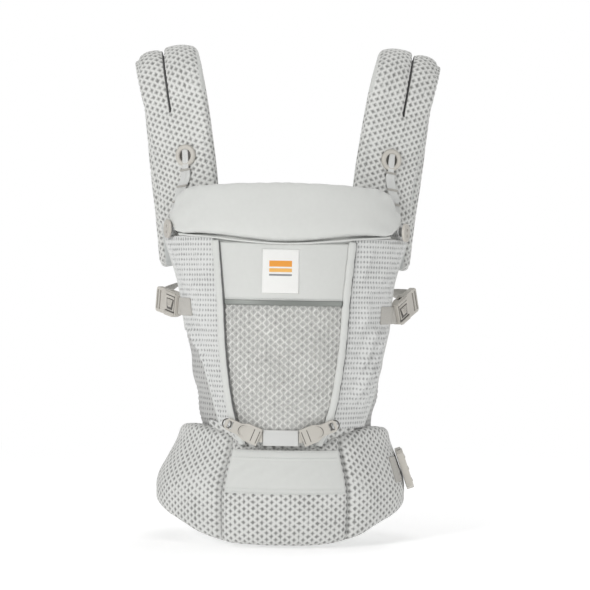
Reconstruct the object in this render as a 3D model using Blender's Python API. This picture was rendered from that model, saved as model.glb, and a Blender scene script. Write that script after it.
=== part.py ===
"""Soft baby carrier: padded waistbelt, front panel with wings, head support, shoulder straps and buckles.

Metres, +Z up, -Y is the outer front, +Y the wearer's side. The origin is the middle of the belt's bottom edge.
Every soft layer is a closed sheet between two offsets of one middle surface; every plastic piece is an
extruded outline with its openings cut by Boolean.
"""

import math

import bmesh
import bpy
import numpy as np
from mathutils import Matrix, Vector

GAP = 0.0003
LAYER_GAP = 0.0013
FABRIC = 0.0016

# Waistbelt
BELT_HALF_WIDTH = 0.169
BELT_HALF_DEPTH = 0.125
BELT_BOTTOM_FLARE, BELT_TOP_FLARE = 0.97, 0.87
BELT_TOP_FLARE_LEFT, BELT_TOP_FLARE_RIGHT = 0.80, 0.855
BELT_FOOT_Z = 0.045
BELT_FLARE_START, BELT_FLARE_END = 0.0685, 0.160
BELT_CENTER_Y = BELT_HALF_DEPTH * BELT_BOTTOM_FLARE
BELT_HALF_FOAM = 0.0095
BELT_END = 125
BELT_TIP = 105
BELT_TWIST = 2.7
BELT_SEAM = 30.8
BELT_SEAM_GAP = 0.06
BELT_STEP = 10
BELT_ROWS = 6
BELT_TOP = ((0, 0.137), (15, 0.137), (33, 0.155), (60, 0.165), (90, 0.160), (125, 0.146))
BELT_BOTTOM = ((0, 0.0), (15, 0.0), (35, 0.008), (60, 0.031), (90, 0.048), (125, 0.078))
BAND_ANGLE = 28.5
BAND_BOTTOM, BAND_TOP = 0.074, 0.1345
WAIST_WEBBING_HALF = 0.019
WAIST_WEBBING_Z = 0.103

# Front panel: half widths and depth against height
PANEL_BOTTOM, PANEL_MESH_TOP, TRIM_TOP, YOKE_TOP = 0.164, 0.3396, 0.3460, 0.4215
PANEL_HALF_WIDTH = ((0.164, 0.0575), (0.207, 0.067), (0.285, 0.077), (0.345, 0.081), (0.4215, 0.0887))
PIPING_WIDTH = 0.0115
LINING_CLEAR = 0.0028
WING_EDGE = {"left": ((0.165, 0.1155), (0.255, 0.1305), (0.324, 0.142), (0.36, 0.148), (0.43, 0.1705)),
             "right": ((0.165, 0.129), (0.22, 0.139), (0.27, 0.1445), (0.30, 0.150),
                       (0.36, 0.155), (0.43, 0.1745))}
WING_FRONT_EDGE = {"left": ((0.170, 0.092), (0.21, 0.105), (0.28, 0.130), (0.30, 0.1375)),
                   "right": ((0.170, 0.117), (0.21, 0.130), (0.27, 0.143), (0.30, 0.1495))}
WING_BOTTOM, WING_TOP, GUSSET_TOP = 0.170, 0.4265, 0.30
PANEL_DEPTH = ((0.14, 0.0), (0.20, -0.020), (0.25, -0.030), (0.35, -0.030), (0.42, -0.018), (0.515, 0.010))
PANEL_WRAP = 0.13
PANEL_WRAP_WIDTH = 1.04

# Head support
PILLOW_HALF_WIDTH = 0.157
PILLOW_TOP = ((0, 0.5155), (0.125, 0.506), (0.147, 0.494), (0.157, 0.470))
PILLOW_BOTTOM = ((0, 0.4235), (0.109, 0.432), (0.149, 0.436), (0.157, 0.446))
PILLOW_CROWN = 0.0135
FOLD_AXIS_Z, FOLD_AXIS_REF_Z = 0.4225, 0.44
BUTTON_RADIUS, BUTTON_THICK, BUTTON_HOLE = 0.0135, 0.0045, 0.0021
BUTTON_PLACE = {"left": (0.1675, 0.052, 0.4440), "right": (0.1735, 0.052, 0.4440)}
BUTTON_FACING = (0.93, -0.37)
BUTTON_TAB_ROOT = {"left": (0.1620, 0.0740, 0.4470), "right": (0.1650, 0.0740, 0.4470)}

# Shoulder straps
PAD_HALF_WIDTH = 0.0485
PAD_HALF_FOAM = 0.0075
PAD_FRONT_Z, PAD_BACK_Z = 0.460, 0.395
PAD_FRONT_Y, ARCH_RADIUS, ARCH_Z = 0.086, 0.060, 0.6415
PAD_FRONT_X = ((0.43, 0.138), (0.50, 0.1425), (0.59, 0.1545), (0.64, 0.163), (0.7015, 0.1765))
PAD_BACK_X = ((0.395, 0.140), (0.7015, 0.1765))
PAD_YAW = 25
PAD_TILT = 0.15
STRAP_AXIS_PLACE = (0.140, 0.198, 0.395)
RING_Z = 0.549
RING_ACROSS = {"left": -0.011, "right": -0.003}
RING_RADIUS, RING_TUBE, RING_DEPTH = 0.0125, 0.0033, 0.0024
LADDER_HALF_WIDTH = 0.007
LADDER_FOOT_Z, LADDER_FOOT_ACROSS = 0.463, 0.019

# Buckles
BUCKLE_LENGTH, BUCKLE_WIDTH, BUCKLE_THICK = 0.034, 0.037, 0.0105
BUCKLE_WALL = 0.0022
WEBBING_HALF = 0.0125
MALE_LENGTH = 0.031
SIDE_BUCKLE_PLACE = {"left": (0.1508, 0.0660, 0.334), "right": (0.1615, 0.0660, 0.326)}
SIDE_BUCKLE_AXIS = (0.50, 0.866)
SIDE_BUCKLE_TILT = {"left": 8, "right": 21}
ANCHOR_REACH, ANCHOR_LIFT, ANCHOR_LEAVES = 0.016, 0.0042, 0.75
SHOULDER_WEBBING_TOP = (0.1425, 0.2005)
SHOULDER_WEBBING_TOP_Z = {"left": 0.371, "right": 0.356}
WAIST_BUCKLE_WIDTH = 0.058
WAIST_BUCKLE_PLACE = (0.1810, 0.094, 0.1005)
WAIST_BUCKLE_LEAN = 19

# Tabs and webbing at the panel's foot
TAB_START = (0.0300, -0.0140, 0.1525)
TAB_TIP = (0.0785, -0.0060, 0.1725)
TAB_THICK = 0.0042
TAB_FOOT, TAB_NOSE, TAB_CORNER = 0.0125, 0.0085, 0.004
TAB_SHOULDER = (0.020, 0.031)
SOCKET_RADIUS, SOCKET_THICK = 0.005, 0.0012
SOCKET_PLACE = (0.0625, -0.0043, 0.1685)
BASE_WEBBING_REACH, BASE_WEBBING_HALF = 0.0245, 0.011

# Label on the yoke
LABEL_LEFT, LABEL_RIGHT = -0.0285, 0.0205
LABEL_BOTTOM, LABEL_TOP = 0.3555, 0.4155

# Chest strap
SLIDER_Z = 0.525
SLIDER_HALF, SLIDER_TALL, SLIDER_THICK, SLIDER_CORNER = 0.031, 0.0125, 0.004, 0.004
CHEST_WEBBING_HALF, CHEST_WEBBING_LENGTH = 0.010, 0.085
CHEST_FEMALE = (0.028, 0.030, 0.0095)
CHEST_MALE = (0.019, 0.029, 0.0095)
CHEST_PRONG = 0.018

SIDES = {"left": -1, "right": 1}


# ---------------------------------------------------------------- general helpers

def clear_scene():
    for item in list(bpy.data.objects):
        bpy.data.objects.remove(item, do_unlink=True)


def material(name, color, roughness, metallic=0.0):
    made = bpy.data.materials.get(name)
    if made is None:
        made = bpy.data.materials.new(name)
        made.use_nodes = True
        shader = made.node_tree.nodes["Principled BSDF"]
        shader.inputs["Base Color"].default_value = (*color, 1)
        shader.inputs["Roughness"].default_value = roughness
        shader.inputs["Metallic"].default_value = metallic
    return made


def mesh_fabric(name):
    return material(f"{name}_mesh_fabric", (0.72, 0.73, 0.71), 0.85)


def smooth_fabric(name):
    return material(f"{name}_smooth_fabric", (0.74, 0.76, 0.75), 0.70)


def foam(name):
    return material(f"{name}_foam", (0.86, 0.85, 0.80), 0.95)


def webbing(name):
    return material(f"{name}_webbing", (0.66, 0.63, 0.58), 0.75)


def plastic(name):
    return material(f"{name}_plastic", (0.58, 0.54, 0.48), 0.40)


def along(knots, place):
    """Smooth value through the knots without overshoot; a profile that starts at 0 is level there."""
    xs, ys = zip(*knots)
    if place <= xs[0]:
        return ys[0]
    if place >= xs[-1]:
        return ys[-1]
    secants = [(b - a) / (q - p) for a, b, p, q in zip(ys, ys[1:], xs, xs[1:])]
    slopes = [0.0 if xs[0] == 0 else secants[0]]
    for left, right in zip(secants, secants[1:]):
        slopes.append(0.0 if left * right <= 0 else 2 * left * right / (left + right))
    slopes.append(secants[-1])
    i = min(int(np.searchsorted(xs, place)) - 1, len(xs) - 2)
    h = xs[i + 1] - xs[i]
    t = (place - xs[i]) / h
    rise = ys[i + 1] - ys[i]
    a, b = slopes[i] * h, slopes[i + 1] * h
    return ys[i] + t * (a + t * ((3 * rise - 2 * a - b) + t * (a + b - 2 * rise)))


def mix(a, b, t):
    return a + (b - a) * t


def steps(start, end, count):
    return [mix(start, end, i / count) for i in range(count + 1)]


def make_object(name, verts, faces, finish, sharp=35):
    shell = bmesh.new()
    points = [shell.verts.new(v) for v in verts]
    for face in faces:
        shell.faces.new([points[i] for i in face])
    bmesh.ops.recalc_face_normals(shell, faces=shell.faces)
    mesh = bpy.data.meshes.new(name)
    shell.to_mesh(mesh)
    shell.free()
    if signed_volume(mesh) < 0:
        mesh.flip_normals()
    mesh.shade_smooth()
    mesh.set_sharp_from_angle(angle=math.radians(sharp))
    made = bpy.data.objects.new(name, mesh)
    bpy.context.scene.collection.objects.link(made)
    made.data.materials.append(finish)
    return made


def signed_volume(mesh):
    total = 0.0
    for face in mesh.polygons:
        corners = [mesh.vertices[i].co for i in face.vertices]
        for i in range(1, len(corners) - 1):
            total += corners[0].dot(corners[i].cross(corners[i + 1]))
    return total


def sheet(name, finish, point, us, vs, low, high, normal=None):
    """Closed sheet between the offsets low and high of the surface point(u, v)."""
    base = np.array([[point(u, v) for v in vs] for u in us], float)
    if normal:
        out = np.array([[normal(u, v) for v in vs] for u in us], float)
    else:
        out = np.cross(np.gradient(base, axis=0), np.gradient(base, axis=1))
    out /= np.linalg.norm(out, axis=2)[:, :, None]

    def offset(amount):
        if callable(amount):
            return np.array([[amount(u, v) for v in vs] for u in us])[:, :, None]
        return amount

    top, bottom = base + out * offset(high), base + out * offset(low)
    nu, nv = len(us), len(vs)
    verts = [tuple(p) for p in top.reshape(-1, 3)] + [tuple(p) for p in bottom.reshape(-1, 3)]

    def at(i, j, layer):
        return layer * nu * nv + i * nv + j

    faces = []
    for i in range(nu - 1):
        for j in range(nv - 1):
            for layer in (0, 1):
                faces.append([at(i, j, layer), at(i + 1, j, layer), at(i + 1, j + 1, layer)])
                faces.append([at(i, j, layer), at(i + 1, j + 1, layer), at(i, j + 1, layer)])
    rim = [(i, 0) for i in range(nu)] + [(nu - 1, j) for j in range(1, nv)]
    rim += [(i, nv - 1) for i in range(nu - 2, -1, -1)] + [(0, j) for j in range(nv - 2, 0, -1)]
    for (i, j), (k, m) in zip(rim, rim[1:] + rim[:1]):
        faces.append([at(i, j, 0), at(i, j, 1), at(k, m, 1), at(k, m, 0)])
    return make_object(name, verts, faces, finish)


def ribbon(name, finish, path, widths, half_width, thick, count=8):
    """Flat webbing along path(t), its width direction given by widths(t)."""
    def point(t, s):
        return Vector(path(t)) + Vector(widths(t)).normalized() * (s * half_width)
    return sheet(name, finish, point, steps(0, 1, count), (-1, 0, 1), -thick / 2, thick / 2)


def tube(name, finish, path, width, depth, across, around=10, closed=False):
    """Cord of oval section along the points of path; across gives the width direction at each point."""
    path = [Vector(p) for p in path]
    count = len(path)
    verts, faces = [], []
    for i, center in enumerate(path):
        before = path[i - 1] if i or closed else center
        after = path[(i + 1) % count] if i < count - 1 or closed else center
        tangent = (after - before).normalized()
        side = Vector(across[i])
        side = (side - tangent * side.dot(tangent)).normalized()
        lift = tangent.cross(side)
        for k in range(around):
            turn = math.tau * k / around
            verts.append(center + side * (width * math.cos(turn)) + lift * (depth * math.sin(turn)))
    for i in range(count if closed else count - 1):
        for k in range(around):
            a, b = i * around, (i + 1) % count * around
            faces.append([a + k, a + (k + 1) % around, b + (k + 1) % around, b + k])
    if not closed:
        faces.append(list(range(around)))
        faces.append([(count - 1) * around + k for k in range(around)][::-1])
    return make_object(name, verts, faces, finish, sharp=50)


def frame_at(place, x_axis, z_axis):
    """Matrix whose columns are the x, y and z axes of a local frame at place."""
    z = Vector(z_axis).normalized()
    x = Vector(x_axis)
    x = (x - z * x.dot(z)).normalized()
    y = z.cross(x)
    turn = Matrix((x, y, z)).transposed().to_4x4()
    return Matrix.Translation(Vector(place)) @ turn


def extrude_outline(name, finish, outline, thick, frame):
    """Plate with the outline in the frame's x-z plane, centred on its y axis."""
    verts = [frame @ Vector((x, -thick / 2, z)) for x, z in outline]
    verts += [frame @ Vector((x, thick / 2, z)) for x, z in outline]
    n = len(outline)
    faces = [list(range(n)), list(range(2 * n - 1, n - 1, -1))]
    faces += [[i, (i + 1) % n, n + (i + 1) % n, n + i] for i in range(n)]
    return make_object(name, verts, faces, finish)


def box_cutter(frame, low, high):
    outline = ((low[0], low[2]), (high[0], low[2]), (high[0], high[2]), (low[0], high[2]))
    shift = Matrix.Translation(Vector((0, (low[1] + high[1]) / 2, 0)))
    return extrude_outline("cutter", plastic("cutter"), outline, high[1] - low[1], frame @ shift)


def round_cutter(frame, x, z, radius, depth, count=16):
    outline = [(x + radius * math.cos(math.tau * k / count), z + radius * math.sin(math.tau * k / count))
               for k in range(count)]
    return extrude_outline("cutter", plastic("cutter"), outline, depth, frame)


def bevel(target, width=0.0009, segments=2):
    made = target.modifiers.new("rounded_edges", "BEVEL")
    made.width = width
    made.segments = segments
    made.limit_method = "ANGLE"
    made.angle_limit = math.radians(40)
    return target


def bake(target):
    """Keeps the modified mesh as the object's own mesh."""
    bpy.context.view_layer.update()
    shape = bpy.data.meshes.new_from_object(target.evaluated_get(bpy.context.evaluated_depsgraph_get()))
    target.modifiers.clear()
    target.data = shape
    return target


def cut(target, cutters):
    """Takes the cutters out of the target and removes them."""
    for cutter in cutters:
        cutter.hide_render = True
        cutter.display_type = "WIRE"
        step = target.modifiers.new("opening", "BOOLEAN")
        step.operation = "DIFFERENCE"
        step.solver = "EXACT"
        step.object = cutter
    bake(target)
    for cutter in cutters:
        bpy.data.objects.remove(cutter, do_unlink=True)
    target.data.shade_smooth()
    target.data.set_sharp_from_angle(angle=math.radians(35))
    return target


def pivot(name, place, parent=None):
    made = bpy.data.objects.new(name, None)
    made.empty_display_size = 0.02
    bpy.context.scene.collection.objects.link(made)
    made.location = Vector(place) - (Vector(parent["place"]) if parent else Vector())
    made.parent = parent
    made["place"] = tuple(place)
    return made


def hang(pieces, empty):
    """Parents the pieces to the empty on their joint's axis, keeping them where they are."""
    for piece in pieces:
        piece.parent = empty
        piece.location = -Vector(empty["place"])


# ---------------------------------------------------------------- waistbelt

def belt_flare(z, top_flare=BELT_TOP_FLARE):
    if z < BELT_FOOT_Z:
        return 1 - (1 - BELT_BOTTOM_FLARE) * ((BELT_FOOT_Z - z) / BELT_FOOT_Z) ** 2
    rise = min(1, max(0, (z - BELT_FLARE_START) / (BELT_FLARE_END - BELT_FLARE_START)))
    return 1 - (1 - top_flare) * rise * rise * (3 - 2 * rise)


def belt_height(angle, v):
    turn = abs(angle)
    top, bottom = along(BELT_TOP, turn), along(BELT_BOTTOM, turn)
    middle, half = (top + bottom) / 2, (top - bottom) / 2
    if turn > BELT_TIP:
        half *= math.sqrt(1 - 0.75 * ((turn - BELT_TIP) / (BELT_END - BELT_TIP)) ** 2)
    return middle + half * (2 * v - 1)


def belt_round(angle, z):
    turn = math.radians(angle)
    top_flare = mix(BELT_TOP_FLARE_LEFT, BELT_TOP_FLARE_RIGHT, (1 + math.sin(turn)) / 2)
    return Vector((belt_flare(z, top_flare) * BELT_HALF_WIDTH * math.sin(turn),
                   BELT_CENTER_Y - belt_flare(z) * BELT_HALF_DEPTH * math.cos(turn), z))


def belt_point(angle, v):
    return belt_round(angle, belt_height(angle, v))


def belt_normal(angle, v):
    turn = math.radians(angle)
    return Vector((math.sin(turn) / BELT_HALF_WIDTH, -math.cos(turn) / BELT_HALF_DEPTH, 0))


def belt_angles(start, end):
    """Both ends and the belt's regular columns between them."""
    first = -BELT_END
    regular = [first + BELT_STEP * i for i in range(2 * BELT_END // BELT_STEP + 1)]
    return [start] + [a for a in regular if start + 0.5 < a < end - 0.5] + [end]


def build_waistbelt():
    rows = steps(0, 1, BELT_ROWS)
    cover_low = BELT_HALF_FOAM + GAP
    cover_high = cover_low + FABRIC
    left_seam, right_seam = BELT_TWIST - BELT_SEAM, BELT_TWIST + BELT_SEAM
    sheet("waistbelt_foam", foam("waistbelt"), belt_point, belt_angles(-BELT_END, BELT_END), rows,
          -BELT_HALF_FOAM, BELT_HALF_FOAM, belt_normal)
    sheet("waistbelt_lining", smooth_fabric("waistbelt_lining"), belt_point, belt_angles(-BELT_END, BELT_END),
          rows, -cover_high, -cover_low, belt_normal)
    panels = {"waistbelt_cover_center": (left_seam + BELT_SEAM_GAP, right_seam - BELT_SEAM_GAP),
              "waistbelt_cover_left": (-BELT_END, left_seam - BELT_SEAM_GAP),
              "waistbelt_cover_right": (right_seam + BELT_SEAM_GAP, BELT_END)}
    for name, (start, end) in panels.items():
        sheet(name, mesh_fabric(name), belt_point, belt_angles(start, end), rows,
              cover_low, cover_high, belt_normal)

    def band_point(angle, v):
        return belt_round(angle, mix(BAND_BOTTOM, BAND_TOP, v))
    sheet("waistbelt_front_band", smooth_fabric("waistbelt_front_band"), band_point,
          belt_angles(BELT_TWIST - BAND_ANGLE, BELT_TWIST + BAND_ANGLE), (0, 0.33, 0.67, 1),
          cover_high + LAYER_GAP, cover_high + LAYER_GAP + FABRIC, belt_normal)


def build_waist_webbing():
    def point(angle, v):
        return belt_round(angle, WAIST_WEBBING_Z + WAIST_WEBBING_HALF * v)
    rows = (-1, -0.5, 0, 0.5, 1)
    low = BELT_HALF_FOAM + FABRIC + LAYER_GAP
    sheet("waist_webbing", webbing("waist_webbing"), point, steps(112, 242, 18), rows,
          low, low + FABRIC, belt_normal)
    sheet("waist_buckle_anchor", webbing("waist_buckle_anchor"), point, steps(68, 76, 2), rows,
          low, low + FABRIC, belt_normal)


# ---------------------------------------------------------------- front panel

def wing_edge(sign, z):
    return along(WING_EDGE["left" if sign < 0 else "right"], z)


def panel_depth(x, z):
    wrap = PANEL_WRAP_WIDTH * wing_edge(x, z)
    return along(PANEL_DEPTH, z) + PANEL_WRAP * (1 - math.sqrt(max(0.0, 1 - (x / wrap) ** 2)))


def panel_out(x, z, small=0.0005):
    """Outward normal of the panel's surface."""
    dx = (panel_depth(x + small, z) - panel_depth(x - small, z)) / (2 * small)
    dz = (panel_depth(x, z + small) - panel_depth(x, z - small)) / (2 * small)
    return Vector((dx, -1, dz)).normalized()


def panel_sheet(name, finish, left, right, bottom, top, columns, rows, low, high):
    """Sheet on the panel's surface; left and right are half widths against height."""
    def point(u, v):
        z = mix(bottom, top, v)
        x = mix(left(z), right(z), u)
        return (x, panel_depth(x, z), z)

    def normal(u, v):
        x, _, z = point(u, v)
        return panel_out(x, z)
    return sheet(name, finish, point, steps(0, 1, columns), steps(0, 1, rows), low, high, normal)


def half_width(z):
    return along(PANEL_HALF_WIDTH, z)


def lining_bottom(x):
    angle = math.degrees(math.asin(min(1, abs(x) / (BELT_HALF_WIDTH * 0.89))))
    return belt_height(angle, 1) + LINING_CLEAR


def build_front_panel():
    def inner(z):
        return half_width(z) - GAP

    def symmetrical(name, finish, bottom, top, rows, low, high):
        panel_sheet(name, finish, lambda z: -inner(z), inner, bottom, top, 12, rows, low, high)

    symmetrical("panel_center_mesh", mesh_fabric("panel_center"), PANEL_BOTTOM, PANEL_MESH_TOP - GAP, 10,
                0, 0.003)
    symmetrical("panel_trim_strip", material("trim_strip", (0.42, 0.46, 0.44), 0.45),
                PANEL_MESH_TOP, TRIM_TOP - GAP, 1, 0, 0.0035)
    symmetrical("panel_yoke", smooth_fabric("panel_yoke"), TRIM_TOP, YOKE_TOP, 5, 0, 0.003)
    build_panel_lining()
    for side, sign in SIDES.items():
        build_piping(side, sign)
        build_wing(side, sign)
    panel_sheet("label_patch", material("label", (0.88, 0.88, 0.86), 0.6), lambda z: LABEL_LEFT,
                lambda z: LABEL_RIGHT, LABEL_BOTTOM, LABEL_TOP, 4, 4, 0.0036, 0.0046)


def build_panel_lining():
    def point(u, v):
        reach = half_width(mix(PANEL_BOTTOM, YOKE_TOP, v)) + PIPING_WIDTH
        x = u * reach
        z = mix(lining_bottom(x), YOKE_TOP, v)
        return (x, panel_depth(x, z), z)
    sheet("panel_lining", smooth_fabric("panel_lining"), point, steps(-1, 1, 14), steps(0, 1, 10),
          -0.0028, -0.0014)


def build_piping(side, sign):
    path, across = [], []
    for z in steps(PANEL_BOTTOM + 0.001, YOKE_TOP - 0.001, 14):
        x = half_width(z) + PIPING_WIDTH / 2
        slope = (panel_depth(x + 0.001, z) - panel_depth(x - 0.001, z)) / 0.002
        out = Vector((slope, -1, 0)).normalized()
        path.append((sign * (x + out.x * 0.0035), panel_depth(x, z) + out.y * 0.0035, z))
        across.append((sign, slope, 0))
    tube(f"panel_piping_{side}", smooth_fabric(f"panel_piping_{side}"), path,
         PIPING_WIDTH / 2 - 0.0005, 0.0042, across)


def build_wing(side, sign):
    def inner(z):
        return sign * (half_width(z) + PIPING_WIDTH + 0.0006)

    def front_edge(z):
        cut_back = along(WING_FRONT_EDGE[side], z) if z < GUSSET_TOP else 1
        return sign * max(min(wing_edge(sign, z), cut_back), abs(inner(z)) + 0.004)

    def outer(z):
        return sign * wing_edge(sign, z)

    def gusset_inner(z):
        return sign * (half_width(z) + 0.002)
    panel_sheet(f"side_wing_{side}", mesh_fabric(f"side_wing_{side}"), inner, front_edge,
                WING_BOTTOM, WING_TOP, 8, 14, 0.0003, 0.0025)
    panel_sheet(f"seat_gusset_{side}", mesh_fabric(f"seat_gusset_{side}"), gusset_inner, outer,
                WING_BOTTOM - 0.002, GUSSET_TOP, 8, 8, -0.0060, -0.0035)


def build_base_hardware():
    def point(t, s):
        return (mix(-BASE_WEBBING_REACH, BASE_WEBBING_REACH, t), TAB_START[1] + 0.0015,
                TAB_START[2] + BASE_WEBBING_HALF * s)
    sheet("base_webbing", webbing("base_webbing"), point, steps(0, 1, 4), (-1, 0, 1), -0.0008, 0.0008)
    for side, sign in SIDES.items():
        start = Vector((sign * TAB_START[0], TAB_START[1], TAB_START[2]))
        tip = Vector((sign * TAB_TIP[0], TAB_TIP[1], TAB_TIP[2]))
        tab = base_tab(f"base_tab_{side}", frame_at(start, (0, 0, 1), tip - start), (tip - start).length)
        hang([tab], pivot(f"base_tab_{side}_pivot", start))
        snap_socket(side, sign)


def base_tab(name, frame, length):
    """Tapered tab: wide square foot, narrower rounded nose with an oval loop hole."""
    outline = [(-TAB_FOOT, 0), (TAB_FOOT, 0), (TAB_FOOT, TAB_SHOULDER[0]), (TAB_NOSE, TAB_SHOULDER[1]),
               (TAB_NOSE, length - TAB_CORNER), (TAB_NOSE - TAB_CORNER, length)]
    outline += [(-x, z) for x, z in reversed(outline[2:])]
    plate = extrude_outline(name, plastic(name), outline, TAB_THICK, frame)
    slot = box_cutter(frame, (-0.0055, -0.01, length - 0.0115), (0.0055, 0.01, length - 0.0045))
    return bevel(cut(plate, [slot]))


def snap_socket(side, sign):
    """Round snap on the panel's foot, behind the tab's nose."""
    middle = Vector((sign * SOCKET_PLACE[0], SOCKET_PLACE[1], SOCKET_PLACE[2]))
    disc = [(SOCKET_RADIUS * math.cos(math.tau * k / 12), SOCKET_RADIUS * math.sin(math.tau * k / 12))
            for k in range(12)]
    name = f"tab_snap_socket_{side}"
    extrude_outline(name, plastic(name), disc, SOCKET_THICK, Matrix.Translation(middle))


# ---------------------------------------------------------------- head support

def pillow_point(s, v):
    x = s * PILLOW_HALF_WIDTH
    z = mix(along(PILLOW_BOTTOM, abs(x)), along(PILLOW_TOP, abs(x)), v)
    return (x, panel_depth(x, z), z)


def pillow_half(s, v):
    """Half thickness of the crowned pillow."""
    across = (1 - abs(2 * v - 1) ** 3)
    ends = 1 - 0.72 * abs(s) ** 4
    return 0.0035 + PILLOW_CROWN * across ** 0.6 * ends * (1 - 0.3 * abs(s) ** 2)


def build_head_support():
    us, vs = steps(-1, 1, 26), (0, 0.1, 0.25, 0.45, 0.65, 0.85, 0.95, 1)
    out = smooth_fabric("head_pillow")
    pieces = [
        sheet("head_pillow_foam", foam("head_pillow"), pillow_point, us, vs,
              lambda s, v: -pillow_half(s, v), pillow_half),
        sheet("head_pillow_cover", out, pillow_point, us, vs,
              lambda s, v: pillow_half(s, v) + GAP, lambda s, v: pillow_half(s, v) + GAP + FABRIC),
        sheet("head_pillow_back", smooth_fabric("head_pillow_back"), pillow_point, us, vs,
              lambda s, v: -pillow_half(s, v) - GAP - FABRIC, lambda s, v: -pillow_half(s, v) - GAP),
    ]
    reach = [Vector(pillow_point(s, 0)) for s in steps(-0.93, 0.93, 26)]
    cord = [p + panel_out(p.x, p.z) * 0.0078 - Vector((0, 0, 0.0012)) for p in reach]
    pieces.append(tube("head_piping", smooth_fabric("head_piping"), cord, 0.0018, 0.0018,
                       [(0, -1, 0.2)] * len(cord), around=8))
    for side, sign in SIDES.items():
        pieces += build_head_button(side, sign)
    front = panel_depth(0, FOLD_AXIS_REF_Z) - pillow_half(0, 0.5) - FABRIC - GAP
    hang(pieces, pivot("head_support_pivot", (0, front, FOLD_AXIS_Z)))


def build_head_button(side, sign):
    mirror = Matrix.Diagonal((sign, 1, 1))
    center = mirror @ Vector(BUTTON_PLACE[side])
    facing = Vector((sign * BUTTON_FACING[0], BUTTON_FACING[1], 0)).normalized()
    frame = frame_at(center, facing.cross(Vector((0, 0, 1))), (0, 0, 1))
    rim = [(BUTTON_RADIUS * math.cos(math.tau * k / 24), BUTTON_RADIUS * math.sin(math.tau * k / 24))
           for k in range(24)]
    disc = extrude_outline(f"head_button_{side}", plastic(f"head_button_{side}"), rim, BUTTON_THICK, frame)
    holes = [round_cutter(frame, 0, z, BUTTON_HOLE, 0.02) for z in (-2 * BUTTON_HOLE, 2 * BUTTON_HOLE)]
    bevel(cut(disc, holes), 0.0012)
    inner = mirror @ Vector(BUTTON_TAB_ROOT[side])
    outer = center - facing * 0.0040 + Vector((0, 0.002, 0))
    tab = ribbon(f"head_button_tab_{side}", webbing(f"head_button_tab_{side}"),
                 lambda t: inner.lerp(outer, t), lambda t: (0, 0, 1), 0.007, 0.0014, count=2)
    return [disc, tab]


# ---------------------------------------------------------------- shoulder straps

def pad_length():
    return (ARCH_Z - PAD_FRONT_Z) + math.pi * ARCH_RADIUS + (ARCH_Z - PAD_BACK_Z)


def pad_frame(sign, s):
    """Centre and width direction of a pad at the length s from its front root."""
    leg = ARCH_Z - PAD_FRONT_Z
    arch = math.pi * ARCH_RADIUS
    if s < leg:
        z, turn = PAD_FRONT_Z + s, 0.0
    elif s < leg + arch:
        turn = (s - leg) / ARCH_RADIUS
        z = ARCH_Z + ARCH_RADIUS * math.sin(turn)
    else:
        z, turn = ARCH_Z - (s - leg - arch), math.pi
    y = PAD_FRONT_Y + ARCH_RADIUS * (1 - math.cos(turn))
    x = along(PAD_FRONT_X if turn < math.pi / 2 else PAD_BACK_X, z)
    yaw = math.radians(PAD_YAW) * math.cos(turn)
    width = Vector((sign * math.cos(yaw), math.sin(yaw), -PAD_TILT)).normalized()
    return Vector((sign * x, y, z)), width


def pad_lengths():
    leg = ARCH_Z - PAD_FRONT_Z
    arch = math.pi * ARCH_RADIUS
    total = pad_length()
    return steps(0, leg, 5) + steps(leg, leg + arch, 12)[1:] + steps(leg + arch, total, 7)[1:]


def build_shoulder_strap(side, sign):
    half = PAD_HALF_WIDTH

    def point(s, v):
        center, width = pad_frame(sign, s)
        return center + width * (v * half)
    us, vs = pad_lengths(), (-1, -0.5, 0, 0.5, 1)
    outside = -1 if sign > 0 else 1
    low, high = PAD_HALF_FOAM + GAP, PAD_HALF_FOAM + GAP + FABRIC
    name = f"shoulder_pad_{side}"

    def layer(kind, finish, a, b):
        a, b = (a, b) if outside > 0 else (-b, -a)
        return sheet(f"{name}_{kind}", finish, point, us, vs, a, b)
    pieces = [layer("foam", foam(name), -PAD_HALF_FOAM, PAD_HALF_FOAM),
              layer("cover", mesh_fabric(name), low, high),
              layer("lining", mesh_fabric(f"{name}_lining"), -high, -low)]
    pieces += build_adjuster(side, sign, high)
    empty = pivot(f"shoulder_strap_{side}_pivot", (sign * STRAP_AXIS_PLACE[0], *STRAP_AXIS_PLACE[1:]))
    hang(pieces, empty)
    return empty


def pad_face(sign, z, across, lift):
    """Point in front of the pad's front face at a height, across its width, and the face's directions."""
    center, width = pad_frame(sign, z - PAD_FRONT_Z)
    up = (pad_frame(sign, z - PAD_FRONT_Z + 0.01)[0] - center).normalized()
    out = width.cross(up) * sign
    if out.y > 0:
        out = -out
    return center + width * across + out.normalized() * lift, width, up, out.normalized()


def build_adjuster(side, sign, face):
    """Ring on the pad and the segmented webbing that runs down from it."""
    across = RING_ACROSS[side]
    place, width, up, _ = pad_face(sign, RING_Z, across, face + 0.0046)
    circle = [place + width * (RING_RADIUS * math.cos(a)) + up * (RING_RADIUS * math.sin(a))
              for a in (math.tau * k / 20 for k in range(20))]
    ring = tube(f"adjuster_ring_{side}", plastic(f"adjuster_ring_{side}"), circle, RING_TUBE, RING_DEPTH,
                [(p - place) for p in circle], around=8, closed=True)
    top = pad_face(sign, RING_Z - RING_RADIUS - RING_TUBE, across, face + 0.0020)[0]
    bottom = pad_face(sign, LADDER_FOOT_Z, LADDER_FOOT_ACROSS, face + 0.0020)[0]
    ladder = ribbon(f"adjuster_ladder_{side}", webbing(f"adjuster_ladder_{side}"),
                    lambda t: top.lerp(bottom, t), lambda t: width, LADDER_HALF_WIDTH, 0.0016, count=6)
    return [ring, ladder]


# ---------------------------------------------------------------- buckles

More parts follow.
